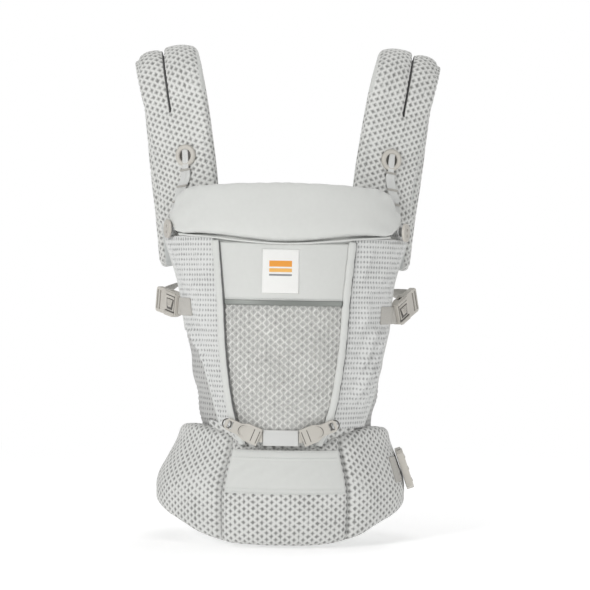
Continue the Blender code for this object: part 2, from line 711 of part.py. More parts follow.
def buckle_female(name, frame, length, width, thick):
    """Hollow half, open at z = 0 of its frame and closed towards -z, with a window on each edge."""
    half, edge = width / 2, 0.004
    outline = [(-half, 0), (half, 0), (half, -length * 0.72), (half - edge, -length), (-half + edge, -length),
               (-half, -length * 0.72)]
    body = extrude_outline(name, plastic(name), outline, thick, frame)
    inner_x, inner_y = half - BUCKLE_WALL, thick / 2 - BUCKLE_WALL
    cavity = box_cutter(frame, (-inner_x, -inner_y, -length * 0.74), (inner_x, inner_y, 0.005))
    window = box_cutter(frame, (-half - 0.01, -inner_y + 0.0006, -length * 0.62),
                        (half + 0.01, inner_y - 0.0006, -length * 0.30))
    slot = box_cutter(frame, (-half + 0.0065, -0.02, -length + 0.0022), (half - 0.0065, 0.02, -length + 0.0052))
    return bevel(cut(body, [cavity, window, slot]), 0.0008, 1)


def buckle_male(name, frame, length, width, thick, reach, bars=1):
    """Base plate outside z = 0 with webbing slots, and two prongs and a guide reaching inside."""
    half, play = width / 2, 0.0006
    inner = half - BUCKLE_WALL - play
    prong, guide = 0.0042, 0.0022
    slim = thick - 2 * BUCKLE_WALL - 2 * play
    outline = [(-inner, 0.0008), (-inner, -reach), (-inner + prong, -reach), (-inner + prong, 0.0008),
               (-guide, 0.0008), (-guide, -reach * 0.8), (guide, -reach * 0.8), (guide, 0.0008),
               (inner - prong, 0.0008), (inner - prong, -reach), (inner, -reach), (inner, 0.0008),
               (inner, 0.004), (-inner, 0.004)]
    fork = extrude_outline("fork", plastic(name), outline, slim, frame)
    corner = 0.003
    base = [(-half, 0.0008), (half, 0.0008), (half, length - corner), (half - corner, length),
            (-half + corner, length), (-half, length - corner)]
    body = extrude_outline(name, plastic(name), base, thick * 0.8, frame)
    join = body.modifiers.new("join", "BOOLEAN")
    join.operation = "UNION"
    join.solver = "EXACT"
    join.object = fork
    bake(body)
    bpy.data.objects.remove(fork, do_unlink=True)
    slots = [box_cutter(frame, (-half + 0.004, -0.02, length - 0.0065 - 0.0085 * i),
                        (half - 0.004, 0.02, length - 0.0030 - 0.0085 * i)) for i in range(bars + 1)]
    return cut(body, slots)


def side_buckle_frame(side, sign):
    """Frame at the mouth, facing out along the buckle's axis, with that axis, the mouth and the width."""
    tilt = math.radians(SIDE_BUCKLE_TILT[side])
    flat = Vector((sign * SIDE_BUCKLE_AXIS[0], SIDE_BUCKLE_AXIS[1], 0)).normalized()
    axis = flat * math.cos(tilt) + Vector((0, 0, math.sin(tilt)))
    x, y, z = SIDE_BUCKLE_PLACE[side]
    mouth = Vector((sign * x, y, z)) + axis * BUCKLE_LENGTH
    across = axis.cross(Vector((flat.y, -flat.x, 0)))
    return frame_at(mouth, across, axis), axis, mouth, across


def build_side_buckle(side, sign):
    frame, axis, mouth, across = side_buckle_frame(side, sign)
    buckle_female(f"side_buckle_female_{side}", frame, BUCKLE_LENGTH, BUCKLE_WIDTH, BUCKLE_THICK)
    male = buckle_male(f"side_buckle_male_{side}", frame, MALE_LENGTH, BUCKLE_WIDTH - 0.001, BUCKLE_THICK,
                       BUCKLE_LENGTH * 0.66)
    back = mouth - axis * (BUCKLE_LENGTH + 0.0010)
    upward = across if across.z > 0 else -across

    def anchor(t, s):
        z = back.z + s * WEBBING_HALF
        x = sign * (wing_edge(sign, z) - ANCHOR_REACH * (1 - min(1, t / ANCHOR_LEAVES)))
        on_wing = Vector((x, panel_depth(x, z), z)) + panel_out(x, z) * ANCHOR_LIFT
        leaving = max(0, (t - ANCHOR_LEAVES) / (1 - ANCHOR_LEAVES))
        return on_wing.lerp(back + upward * (s * WEBBING_HALF), leaving)
    sheet(f"side_buckle_anchor_{side}", webbing(f"side_buckle_anchor_{side}"), anchor,
          steps(0, 1, 8), (-1, -0.5, 0, 0.5, 1), -0.0008, 0.0008)
    low = mouth + axis * (MALE_LENGTH + 0.0015)
    high = Vector((sign * SHOULDER_WEBBING_TOP[0], SHOULDER_WEBBING_TOP[1], SHOULDER_WEBBING_TOP_Z[side]))
    pad_width = pad_frame(sign, pad_length())[1]
    turn_from = across if across.dot(pad_width) > 0 else -across
    name = f"shoulder_webbing_{side}"
    strap = ribbon(name, webbing(name), lambda t: low.lerp(high, t), lambda t: turn_from.lerp(pad_width, t),
                   WEBBING_HALF, 0.0016, count=8)
    hang([male, strap], pivot(f"side_latch_{side}_pivot", mouth))


def build_waist_buckle():
    lean = math.radians(WAIST_BUCKLE_LEAN)
    mouth = Vector(WAIST_BUCKLE_PLACE) + Vector((0, BUCKLE_LENGTH, 0))
    frame = frame_at(mouth, (-math.sin(lean), 0, math.cos(lean)), (0, 1, 0))
    buckle_female("waist_buckle_female", frame, BUCKLE_LENGTH, WAIST_BUCKLE_WIDTH, BUCKLE_THICK)
    male = buckle_male("waist_buckle_male", frame, 0.030, WAIST_BUCKLE_WIDTH - 0.001, BUCKLE_THICK,
                       BUCKLE_LENGTH * 0.66)
    hang([male], pivot("waist_latch_pivot", mouth))


# ---------------------------------------------------------------- chest strap

def build_chest_half(side, sign, strap):
    """Slider on a pad's back leg with webbing hanging behind it and a buckle half at its end."""
    center, width = pad_frame(sign, pad_length() - (SLIDER_Z - PAD_BACK_Z))
    lower = pad_frame(sign, pad_length() - (SLIDER_Z - 0.03 - PAD_BACK_Z))[0]
    up = (center - lower).normalized()
    out = width.cross(up)
    if out.y < 0:
        out = -out
    place = center + out * (PAD_HALF_FOAM + GAP + FABRIC + 0.0035)
    slider = chest_slider(side, frame_at(place, width, up))
    top = place + out * 0.0045 - width * 0.012 - up * 0.004 + Vector((0, 0.004, 0))
    low = top - Vector((0, 0, CHEST_WEBBING_LENGTH))
    hanging = ribbon(f"chest_webbing_{side}", webbing(f"chest_webbing_{side}"), lambda t: top.lerp(low, t),
                     lambda t: (1, 0, 0), CHEST_WEBBING_HALF, 0.0016, count=3)
    if side == "left":
        mouth = frame_at(low - Vector((0, 0, CHEST_FEMALE[0] + 0.002)), (1, 0, 0), (0, 0, -1))
        half = buckle_female("chest_buckle_female", mouth, *CHEST_FEMALE)
    else:
        mouth = frame_at(low - Vector((0, 0, CHEST_MALE[0] + 0.0015)), (1, 0, 0), (0, 0, 1))
        half = buckle_male("chest_buckle_male", mouth, *CHEST_MALE, CHEST_PRONG, bars=0)
    hang([slider, hanging, half], pivot(f"chest_slider_{side}_pivot", place, strap))


def chest_slider(side, frame):
    corner_x, corner_z = SLIDER_HALF - SLIDER_CORNER, SLIDER_TALL - SLIDER_CORNER
    outline = [(-corner_x, -SLIDER_TALL), (corner_x, -SLIDER_TALL), (SLIDER_HALF, -corner_z)]
    outline += [(-x, -z) for x, z in outline[:2]] + [(-SLIDER_HALF, corner_z), (-SLIDER_HALF, -corner_z)]
    outline.insert(3, (SLIDER_HALF, corner_z))
    name = f"chest_slider_{side}"
    slider = extrude_outline(name, plastic(name), outline, SLIDER_THICK, frame)
    slots = [box_cutter(frame, (x, -0.02, -0.009), (x + 0.004, 0.02, 0.009)) for x in (-0.026, 0.022)]
    return bevel(cut(slider, slots), 0.0008, 1)


def main():
    clear_scene()
    build_waistbelt()
    build_waist_webbing()
    build_front_panel()
    build_base_hardware()
    build_head_support()
    for side, sign in SIDES.items():
        strap = build_shoulder_strap(side, sign)
        build_side_buckle(side, sign)
        build_chest_half(side, sign, strap)
    build_waist_buckle()


main()
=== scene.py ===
"""Looks of the soft baby carrier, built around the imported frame.

Each soft piece is a fine mesh on the same middle surface as its CAD layer, with its weave as real relief.
Lengths are in metres, and tables of shape hold (place, value) knots.
"""

import math

import bmesh
import bpy
import numpy as np
from mathutils import Matrix, Vector


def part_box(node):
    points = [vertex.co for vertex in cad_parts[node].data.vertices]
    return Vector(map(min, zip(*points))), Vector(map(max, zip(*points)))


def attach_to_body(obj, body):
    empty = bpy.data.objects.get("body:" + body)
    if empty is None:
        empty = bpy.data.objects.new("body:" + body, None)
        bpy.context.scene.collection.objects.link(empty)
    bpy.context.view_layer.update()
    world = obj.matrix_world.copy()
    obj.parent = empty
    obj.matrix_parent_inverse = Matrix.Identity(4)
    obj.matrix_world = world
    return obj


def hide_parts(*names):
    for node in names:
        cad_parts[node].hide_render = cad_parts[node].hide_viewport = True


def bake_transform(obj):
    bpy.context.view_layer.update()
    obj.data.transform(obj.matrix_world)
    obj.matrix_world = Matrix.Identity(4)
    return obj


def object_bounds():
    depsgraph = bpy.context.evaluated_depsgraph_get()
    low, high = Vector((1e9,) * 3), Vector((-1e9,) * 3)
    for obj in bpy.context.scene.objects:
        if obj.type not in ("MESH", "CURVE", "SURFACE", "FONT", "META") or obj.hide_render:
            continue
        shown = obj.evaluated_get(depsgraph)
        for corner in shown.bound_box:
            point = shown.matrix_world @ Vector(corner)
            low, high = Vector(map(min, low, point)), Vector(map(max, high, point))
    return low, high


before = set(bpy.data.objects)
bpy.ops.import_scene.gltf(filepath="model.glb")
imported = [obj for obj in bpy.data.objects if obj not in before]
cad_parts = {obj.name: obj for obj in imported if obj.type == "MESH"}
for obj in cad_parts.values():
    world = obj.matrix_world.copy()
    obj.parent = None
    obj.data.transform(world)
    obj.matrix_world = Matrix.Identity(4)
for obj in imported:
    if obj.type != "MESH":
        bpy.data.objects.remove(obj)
cad_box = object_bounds()

SIDES = {"left": -1, "right": 1}
UP = np.array([0.0, 0.0, 1.0])

# ---------------------------------------------------------------- sizes of the worn shape

FOAM_LOW, FOAM_HIGH = (np.array(c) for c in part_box("waistbelt_foam"))
BELT_FOAM_HALF = 0.0095
BELT_HALF_WIDTH = (FOAM_HIGH[0] - FOAM_LOW[0]) / 2 - BELT_FOAM_HALF + 0.0007
BELT_HALF_DEPTH = 0.125
BELT_CENTER_Y = 0.97 * BELT_HALF_DEPTH
BELT_TOP_FLARE, BELT_TOP_FLARE_LEFT, BELT_TOP_FLARE_RIGHT = 0.87, 0.80, 0.855
# Angles in degrees about the upright axis, from the belt's front middle.
BELT_END, BELT_TAPER, BELT_TWIST, BELT_SEAM, BAND_ANGLE = 125, 112, 2.7, 30.8, 28.5
LEFT_SEAM, RIGHT_SEAM = BELT_TWIST - BELT_SEAM, BELT_TWIST + BELT_SEAM
BELT_TOP = ((0, 0.137), (15, 0.137), (33, 0.155), (60, 0.165), (90, 0.160), (125, 0.146))
BELT_BOTTOM = ((0, 0.0), (15, 0.0), (35, 0.008), (60, 0.031), (90, 0.048), (125, 0.078))
BELT_FACE = 0.0112

PANEL_MESH_TOP, TRIM_TOP, YOKE_TOP = 0.3396, 0.3460, 0.4215
PANEL_HALF_WIDTH = ((0.150, 0.0545), (0.164, 0.0575), (0.207, 0.067), (0.285, 0.077), (0.345, 0.081),
                    (0.4215, 0.0887), (0.435, 0.0900))
PIPING_WIDTH = 0.0115
WING_EDGE = {-1: ((0.165, 0.1155), (0.255, 0.1305), (0.324, 0.142), (0.36, 0.148), (0.43, 0.1705)),
             1: ((0.165, 0.129), (0.22, 0.139), (0.27, 0.1445), (0.30, 0.15), (0.36, 0.155), (0.43, 0.1745))}
WING_FRONT_EDGE = {-1: ((0.164, 0.084), (0.195, 0.0930), (0.2324, 0.1035), (0.27, 0.115), (0.30, 0.1345)),
                   1: ((0.170, 0.117), (0.21, 0.130), (0.27, 0.143), (0.30, 0.1495))}
WING_FRONT_EDGE_TOP = 0.30
PANEL_DEPTH = ((0.14, 0.0), (0.20, -0.020), (0.25, -0.030), (0.35, -0.030), (0.42, -0.018), (0.515, 0.010))
PANEL_WRAP, PANEL_WRAP_WIDTH = 0.13, 1.04

PILLOW_HALF_WIDTH = 0.157
PILLOW_TOP = ((0, 0.5155), (0.125, 0.506), (0.147, 0.494), (0.157, 0.470))
PILLOW_BOTTOM = ((0, 0.4235), (0.109, 0.432), (0.149, 0.436), (0.157, 0.446))
PILLOW_CROWN = 0.0135

PAD_HALF_WIDTH, PAD_HALF_THICK = 0.0485, 0.0095
PAD_FRONT_Z, PAD_BACK_Z = 0.460, 0.395
PAD_FRONT_Y, ARCH_RADIUS, ARCH_Z = 0.086, 0.060, 0.6415
PAD_FRONT_X = ((0.43, 0.138), (0.50, 0.1425), (0.59, 0.1545), (0.64, 0.163), (0.7015, 0.1765))
PAD_BACK_X = ((0.395, 0.140), (0.7015, 0.1765))
PAD_YAW, PAD_TILT = math.radians(25), 0.15
PAD_LEG, ARCH_LENGTH = ARCH_Z - PAD_FRONT_Z, math.pi * ARCH_RADIUS
PAD_LENGTH = PAD_LEG + ARCH_LENGTH + (ARCH_Z - PAD_BACK_Z)
PAD_OUTER_SWELL = ((0, -0.001), (0.05, -0.0060), (0.085, -0.0035), (0.12, 0.0005), (0.16, 0.0010),
                   (0.185, 0.0038), (0.212, 0.0058), (0.26, 0.0028), (0.32, 0), (1, 0))


# ---------------------------------------------------------------- curves and surfaces

def along(knots, place):
    """Smooth values through the knots without overshoot; a profile that starts at 0 is level there."""
    xs, ys = (np.array(c, float) for c in zip(*knots))
    place = np.clip(np.asarray(place, float), xs[0], xs[-1])
    h = np.diff(xs)
    secant = np.diff(ys) / h
    before, after = secant[:-1], secant[1:]
    both = np.where(before + after == 0, 1, before + after)
    inner = np.where(before * after > 0, 2 * before * after / both, 0)
    slopes = np.concatenate([[0.0 if xs[0] == 0 else secant[0]], inner, [secant[-1]]])
    i = np.clip(np.searchsorted(xs, place) - 1, 0, len(h) - 1)
    t = (place - xs[i]) / h[i]
    rise, a, b = ys[i + 1] - ys[i], slopes[i] * h[i], slopes[i + 1] * h[i]
    return ys[i] + t * (a + t * ((3 * rise - 2 * a - b) + t * (a + b - 2 * rise)))


def smooth(low, high, value):
    t = np.clip((value - low) / (high - low), 0, 1)
    return t * t * (3 - 2 * t)


def peak(value, width, power=2):
    """1 where value is 0, falling away over about width."""
    return np.exp(-(value / width) ** power)


def stack(*parts):
    return np.stack(np.broadcast_arrays(*parts), axis=-1)


def unit(v):
    return v / np.linalg.norm(v, axis=-1, keepdims=True)


def run_of(path):
    """Length along a path at each of its points."""
    return np.concatenate([[0], np.cumsum(np.linalg.norm(np.diff(path, axis=0), axis=1))])


def belt_flare(z, top_flare=BELT_TOP_FLARE):
    low = 1 - 0.03 * (np.clip((0.045 - z) / 0.045, 0, 2)) ** 2
    return low - (1 - top_flare) * smooth(0.0685, 0.160, z)


def belt_round(turn, z):
    """Point of the belt's middle surface at the angle turn (radians) and height z."""
    share = (1 + np.sin(turn)) / 2
    top_flare = BELT_TOP_FLARE_LEFT * (1 - share) + BELT_TOP_FLARE_RIGHT * share
    return stack(belt_flare(z, top_flare) * BELT_HALF_WIDTH * np.sin(turn),
                 BELT_CENTER_Y - belt_flare(z) * BELT_HALF_DEPTH * np.cos(turn), z)


def belt_normal(turn):
    return unit(stack(np.sin(turn) / BELT_HALF_WIDTH, -np.cos(turn) / BELT_HALF_DEPTH, 0 * turn))


def belt_surface(degrees, z, offset):
    turn = np.radians(degrees)
    return belt_round(turn, z) + belt_normal(turn) * np.asarray(offset)[..., None]


def belt_heights(degrees):
    return along(BELT_BOTTOM, np.abs(degrees)), along(BELT_TOP, np.abs(degrees))


def wing_edge(sign, z):
    return np.where(np.asarray(sign) < 0, along(WING_EDGE[-1], z), along(WING_EDGE[1], z))


def half_width(z):
    return along(PANEL_HALF_WIDTH, z)


def panel_depth(x, z):
    wrap = PANEL_WRAP_WIDTH * wing_edge(x, z)
    return along(PANEL_DEPTH, z) + PANEL_WRAP * (1 - np.sqrt(np.clip(1 - (x / wrap) ** 2, 0.0, 1)))


def panel_out(x, z, small=0.0008):
    dx = (panel_depth(x + small, z) - panel_depth(x - small, z)) / (2 * small)
    dz = (panel_depth(x, z + small) - panel_depth(x, z - small)) / (2 * small)
    return unit(stack(dx, -1.0, dz))


def on_panel(x, z, lift=0.0):
    """Points over the front panel's middle surface."""
    return stack(x, panel_depth(x, z), z) + panel_out(x, z) * np.asarray(lift)[..., None]


def pad_frame(sign, s):
    """Centre, width and outward directions and turn of a shoulder pad at the lengths s from its root."""
    turn = np.clip((s - PAD_LEG) / ARCH_RADIUS, 0, math.pi)
    z = np.where(s < PAD_LEG, PAD_FRONT_Z + s,
                 np.where(s < PAD_LEG + ARCH_LENGTH, ARCH_Z + ARCH_RADIUS * np.sin(turn),
                          ARCH_Z - (s - PAD_LEG - ARCH_LENGTH)))
    y = PAD_FRONT_Y + ARCH_RADIUS * (1 - np.cos(turn))
    x = np.where(turn < math.pi / 2, along(PAD_FRONT_X, z), along(PAD_BACK_X, z))
    yaw = PAD_YAW * np.cos(turn)
    width = unit(stack(sign * np.cos(yaw), np.sin(yaw), -PAD_TILT))
    center = stack(sign * x, y, z)
    out = unit(np.cross(width, unit(np.gradient(center, axis=0)))) * sign
    return center, width, out, turn


def net(u, v, pu, pv, sway):
    """0 in the middle of each cell, 1 on the yarns: upward zigzags that meet each other at a sway of 0.25."""
    swing = sway * (2 * np.abs(2 * ((v / pv) % 1) - 1) - 1)
    near = np.minimum(np.abs((u / pu + swing) % 1 - 0.5), np.abs((u / pu - swing + 0.5) % 1 - 0.5))
    return 1 - near / (0.25 + sway)


def oval(u, v, pu, pv):
    """0 at the middle of each cell of a plain grid and growing as ovals around it."""
    return np.hypot(2 * ((u / pu) % 1) - 1, 2 * ((v / pv) % 1) - 1)


# ---------------------------------------------------------------- mesh building

def link(name, data):
    made = bpy.data.objects.new(name, data)
    bpy.context.scene.collection.objects.link(made)
    return made


def attach(made, body, nodes=()):
    """Lets a piece move with a body, and hides the CAD nodes that it stands for."""
    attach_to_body(made, body)
    if nodes:
        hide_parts(*nodes)
    return made


def mesh_object(name, verts, faces, uv, materials, face_material=None):
    """Mesh from points, index faces and one texture coordinate for each point, in metres."""
    mesh = bpy.data.meshes.new(name)
    mesh.from_pydata(np.asarray(verts).reshape(-1, 3).tolist(), [], [list(map(int, f)) for f in faces])
    layer = mesh.uv_layers.new(name="metres")
    loops = np.empty(len(mesh.loops), dtype=np.int32)
    mesh.loops.foreach_get("vertex_index", loops)
    layer.data.foreach_set("uv", np.asarray(uv, float).reshape(-1, 2)[loops].ravel())
    for finish in materials:
        mesh.materials.append(finish)
    if face_material is not None:
        mesh.polygons.foreach_set("material_index", np.asarray(face_material, dtype=np.int32))
    tidy = bmesh.new()
    tidy.from_mesh(mesh)
    bmesh.ops.recalc_face_normals(tidy, faces=tidy.faces)
    tidy.to_mesh(mesh)
    tidy.free()
    mesh.shade_smooth()
    return link(name, mesh)


def slab(name, front, back, uv, finish):
    """Closed sheet between two grids of points."""
    nu, nv = front.shape[:2]
    index = np.arange(nu * nv).reshape(nu, nv)
    quads = np.stack([index[:-1, :-1], index[1:, :-1], index[1:, 1:], index[:-1, 1:]], axis=-1).reshape(-1, 4)
    rim = np.concatenate([index[:, 0], index[-1, 1:], index[-2::-1, -1], index[0, -2:0:-1]])
    after = np.roll(rim, -1)
    total = nu * nv
    sides = np.stack([rim, rim + total, after + total, after], axis=-1)
    faces = np.concatenate([quads, quads[:, ::-1] + total, sides])
    verts = np.concatenate([front.reshape(-1, 3), back.reshape(-1, 3)])
    return mesh_object(name, verts, faces, np.concatenate([uv.reshape(-1, 2)] * 2), [finish])


def sweep(name, rings, uv, materials, ring_material=None, closed=False):
    """Closed skin through rings of points; ring_material gives a material to each place around a ring."""
    n, k = rings.shape[:2]
    index = np.arange(n * k).reshape(n, k)
    nxt = np.roll(index, -1, axis=1)
    if closed:
        a, b, c, d = index, np.roll(index, -1, axis=0), np.roll(nxt, -1, axis=0), nxt
    else:
        a, b, c, d = index[:-1], index[1:], nxt[1:], nxt[:-1]
    quads = np.stack([a, b, c, d], axis=-1).reshape(-1, 4).tolist()
    kinds = None
    if ring_material is not None:
        kinds = np.broadcast_to(ring_material, a.shape).reshape(-1).tolist()
    if not closed:
        quads += [index[0].tolist(), index[-1][::-1].tolist()]
        if kinds is not None:
            kinds += [kinds[0], kinds[-1]]
    return mesh_object(name, rings, quads, uv, materials, kinds)


def section(count, half_a, half_b, radius):
    """Rounded rectangle (a across, b thick) at count places of its perimeter, from the middle of its +b face.

    Gives a, b, the outward direction in the section, and the length along the +b face's middle line.
    An array of fractions can stand in for the count.
    """
    fractions = np.arange(count) / count if isinstance(count, int) else count
    a, b = half_a - radius, half_b - radius
    corner = math.pi / 2 * radius
    lengths = np.stack([a, corner, 2 * b, corner, 2 * a, corner, 2 * b, corner, a], axis=-1)
    ends = np.cumsum(lengths, axis=-1)
    s = fractions * ends[..., -1]
    piece = np.clip((s[..., None] >= ends).sum(axis=-1), 0, 8)
    local = s - np.take_along_axis(ends - lengths, piece[..., None], axis=-1)[..., 0]
    turn = local / np.maximum(radius, 1e-9)
    c, d = np.cos(turn), np.sin(turn)
    one, zero = np.ones_like(s), np.zeros_like(s)
    pa = np.choose(piece, [local, a + radius * d, half_a * one, a + radius * c, a - local, -a - radius * d,
                           -half_a * one, -a - radius * c, -a + local])
    pb = np.choose(piece, [half_b * one, b + radius * c, b - local, -b - radius * d, -half_b * one,
                           -b - radius * c, -b + local, b + radius * d, half_b * one])
    na = np.choose(piece, [zero, d, one, c, zero, -d, -one, -c, zero])
    nb = np.choose(piece, [one, c, zero, -d, -one, -c, zero, d, one])
    run = np.where(s > ends[..., -1] / 2, s - ends[..., -1], s)
    return pa, pb, na, nb, run


def across_path(path, across):
    """Width and lift directions of a strip along path, from a rough across direction."""
    tangent = unit(np.gradient(path, axis=0))
    side = unit(across - tangent * (across * tangent).sum(axis=1, keepdims=True))
    return side, np.cross(tangent, side)


def tube(name, path, across, width, depth, finish, around=12):
    """Cord of oval section along path; across is its rough width direction."""
    side, lift = across_path(path, across)
    turn = np.arange(around) / around * math.tau
    width = np.broadcast_to(width, len(path))[:, None, None]
    depth = np.broadcast_to(depth, len(path))[:, None, None]
    rings = path[:, None] + side[:, None] * np.cos(turn)[None, :, None] * width
    rings = rings + lift[:, None] * np.sin(turn)[None, :, None] * depth
    uv = stack(run_of(path)[:, None], (turn * 0.004)[None, :])
    return sweep(name, rings, uv, [finish])


def ribbon(name, path, across, half_width, finish, thick=0.0016):
    """Webbing along a path, with softly rounded edges; across is its rough width direction."""
    side, lift = across_path(path, across)
    full = np.ones((len(path), 1))
    wide = np.broadcast_to(half_width, len(path))[:, None] * full
    pa, pb, _, _, run_across = section(28, wide, thick / 2 * full, thick * 0.45 * full)
    rings = path[:, None] + side[:, None] * pa[..., None] + lift[:, None] * pb[..., None]
    return sweep(name, rings, stack(run_of(path)[:, None], run_across), [finish])


def round_path(points, step=0.002):
    """Points evenly spaced along a smooth curve through the given ones."""
    points = np.asarray(points, float)
    run = run_of(points)
    places = np.linspace(0, run[-1], max(4, int(run[-1] / step)))
    return np.stack([along(list(zip(run, points[:, i])), places) for i in range(3)], axis=-1)


def stitches(name, body, path, out, length=0.0026, gap=0.0012, radius=0.00038, lift=0.0002):
    """Row of sewn stitches on a body: a small rounded bar for each, on the path, lifted along out."""
    path, out = np.asarray(path, float), np.asarray(out, float)
    run = run_of(path)
    pitch = length + gap
    verts, faces, uvs = [], [], []
    for i in range(int(run[-1] / pitch)):
        places = i * pitch + length * np.array([0, 0.2, 0.8, 1])
        p = np.stack([np.interp(places, run, path[:, k]) for k in range(3)], axis=-1)
        o = unit(np.stack([np.interp(places, run, out[:, k]) for k in range(3)], axis=-1))
        side = unit(np.cross(unit(p[-1] - p[0]), o[0]))
        for j, grow in enumerate((0.35, 1, 1, 0.35)):
            drop = 0 if j in (1, 2) else -radius * 0.7
            for k in range(6):
                a = math.tau * k / 6
                verts.append(p[j] + o[j] * (lift + drop + radius * grow * math.sin(a))
                             + side * radius * grow * math.cos(a))
                uvs.append((0.001 * j, 0.001 * k))
        base = i * 24
        for j in range(3):
            a = base + j * 6
            faces += [[a + k, a + (k + 1) % 6, a + 6 + (k + 1) % 6, a + 6 + k] for k in range(6)]
        faces.append([base + k for k in range(6)])
        faces.append([base + 18 + k for k in range(5, -1, -1)])
    return attach(mesh_object(name, verts, faces, uvs, [THREAD]), body)


# ---------------------------------------------------------------- materials

class Value:
    """A number from a node's output that can be calculated with."""

    def __init__(self, graph, socket):
        self.graph, self.socket = graph, socket

    def math(self, operation, other=0.0):
        return self.graph.math(operation, self, other)

    def __add__(self, other):
        return self.math("ADD", other)

    def __radd__(self, other):
        return self.graph.math("ADD", other, self)

    def __sub__(self, other):
        return self.math("SUBTRACT", other)

    def __rsub__(self, other):
        return self.graph.math("SUBTRACT", other, self)

    def __mul__(self, other):
        return self.math("MULTIPLY", other)

    def __truediv__(self, other):
        return self.math("DIVIDE", other)

    def __abs__(self):
        return self.math("ABSOLUTE")

    def fract(self):
        return self.math("FRACT")


class Graph:
    """A material's node tree with short calls for the nodes used here."""

    def __init__(self, name, roughness, sheen=0.0, metallic=0.0):
        self.material = bpy.data.materials.new(name)
        self.material.use_nodes = True
        self.tree = self.material.node_tree
        self.shader = self.tree.nodes["Principled BSDF"]
        for label, number in (("Roughness", roughness), ("Metallic", metallic), ("Sheen Weight", sheen),
                              ("Sheen Roughness", 0.5)):
            self.shader.inputs[label].default_value = number

    def put(self, socket, value):
        """Links a value to a socket, or sets the socket to a number or colour."""
        if isinstance(value, Value):
            self.tree.links.new(value.socket, socket)
        elif isinstance(value, tuple):
            socket.default_value = (*value, 1)
        else:
            socket.default_value = value

    def node(self, kind, output, **inputs):
        """A new node's output, with the named inputs filled; a name's underscores stand for spaces."""
        made = self.tree.nodes.new("ShaderNode" + kind)
        for label, value in inputs.items():
            self.put(made.inputs[label.replace("_", " ")], value)
        return Value(self, made.outputs[output])

    def math(self, operation, a, b=0.0):
        made = self.tree.nodes.new("ShaderNodeMath")
        made.operation = operation
        self.put(made.inputs[0], a)
        self.put(made.inputs[1], b)
        return Value(self, made.outputs[0])

    def place(self, kind="UV"):
        """The texture position as a vector and as its three parts."""
        vector = self.node("TexCoord", kind)
        split = self.node("SeparateXYZ", 0, Vector=vector).socket.node
        return vector, *(Value(self, socket) for socket in split.outputs)

    def noise(self, vector, scale, detail=3.0):
        return self.node("TexNoise", "Fac", Vector=vector, Scale=scale, Detail=detail)

    def ramp(self, value, low, high, to_low=0.0, to_high=1.0):
        made = self.node("MapRange", 0, Value=value, From_Min=low, From_Max=high, To_Min=to_low,
                         To_Max=to_high)
        made.socket.node.interpolation_type = "SMOOTHSTEP"
        return made

    def mix(self, factor, a, b):
        made = self.tree.nodes.new("ShaderNodeMix")
        made.data_type = "RGBA"
        for socket, value in ((made.inputs["Factor"], factor), (made.inputs[6], a), (made.inputs[7], b)):
            self.put(socket, value)
        return Value(self, made.outputs[2])

    def color(self, value, amount):
        """Colours the surface with value, made lighter or darker by the factor amount."""
        self.put(self.shader.inputs["Base Color"], self.node("HueSaturation", 0, Color=value, Value=amount))

    def bump(self, height, distance, strength=1.0):
        self.put(self.shader.inputs["Normal"],
                 self.node("Bump", 0, Strength=strength, Distance=distance, Height=height))

    def weave(self, u, v, pitch):
        """Fine over-and-under yarn height."""
        return (u * (math.tau / pitch)).math("SINE") * (v * (math.tau / pitch)).math("SINE")


def mesh_fabric(name, ground, hole, cell, low, high, sway=None, faded=0.12, spot=None):
    """Spacer mesh: pale yarns around darker cells, which are ovals where sway is None."""
    g = Graph(name, 0.88, sheen=0.25)
    vector, u, v, _ = g.place()
    u_cell, v_cell = u / cell[0], v / cell[1]
    patchy, uneven = g.noise(vector, 22.0), g.noise(vector, 170.0, 1.0)

    def wave(value):
        return value.fract() * 2.0 - 1.0

    if sway is None:
        web = (abs(wave(u_cell)).math("POWER", 2.0) + abs(wave(v_cell)).math("POWER", 2.0)).math("SQRT")
    else:
        swing = (abs(wave(v_cell)) * 2.0 - 1.0) * sway + (uneven - 0.5) * 0.20
        lines = [abs((place + shift).fract() - 0.5)
                 for place, shift in ((u_cell + swing, 0.0), (u_cell - swing, 0.5))]
        web = 1.0 - g.math("MINIMUM", *lines) / (0.25 + sway)
    worn = (patchy - 0.5) * (2 * faded) + (uneven - 0.5) * 0.50
    cells = g.ramp(web + worn, low, high)
    fuzz = g.noise(vector, 900.0, 2.0)
    base = g.mix(cells, hole, ground)
    if spot:
        base = g.mix(g.ramp(web + worn, 0.05, 0.42), spot, base)
    g.color(base, (fuzz - 0.5) * 0.26 + (1.0 + (patchy - 0.5) * 0.12))
    g.bump((cells * 0.7 + g.weave(u, v, 0.0011) * 0.18) + fuzz * 0.2, 0.0005, 0.8)
    return g.material


def smooth_fabric(name, color, kind="UV", pitch=0.0007):
    """Closely woven cotton with faint creases and colour variation."""
    g = Graph(name, 0.80, sheen=0.35)
    vector, u, v, w = g.place(kind)
    patchy, fuzz, slub = g.noise(vector, 9.0), g.noise(vector, 1200.0, 2.0), g.noise(vector, 160.0, 2.0)
    g.color(color, 1.0 + ((patchy - 0.5) * 0.06 + (slub - 0.5) * 0.05))
    twill = ((u + (v if kind == "UV" else w)) * (math.tau / pitch)).math("SINE")
    g.bump(twill * 0.25 + (fuzz * 0.5 + slub), 0.00012, 0.5)
    return g.material


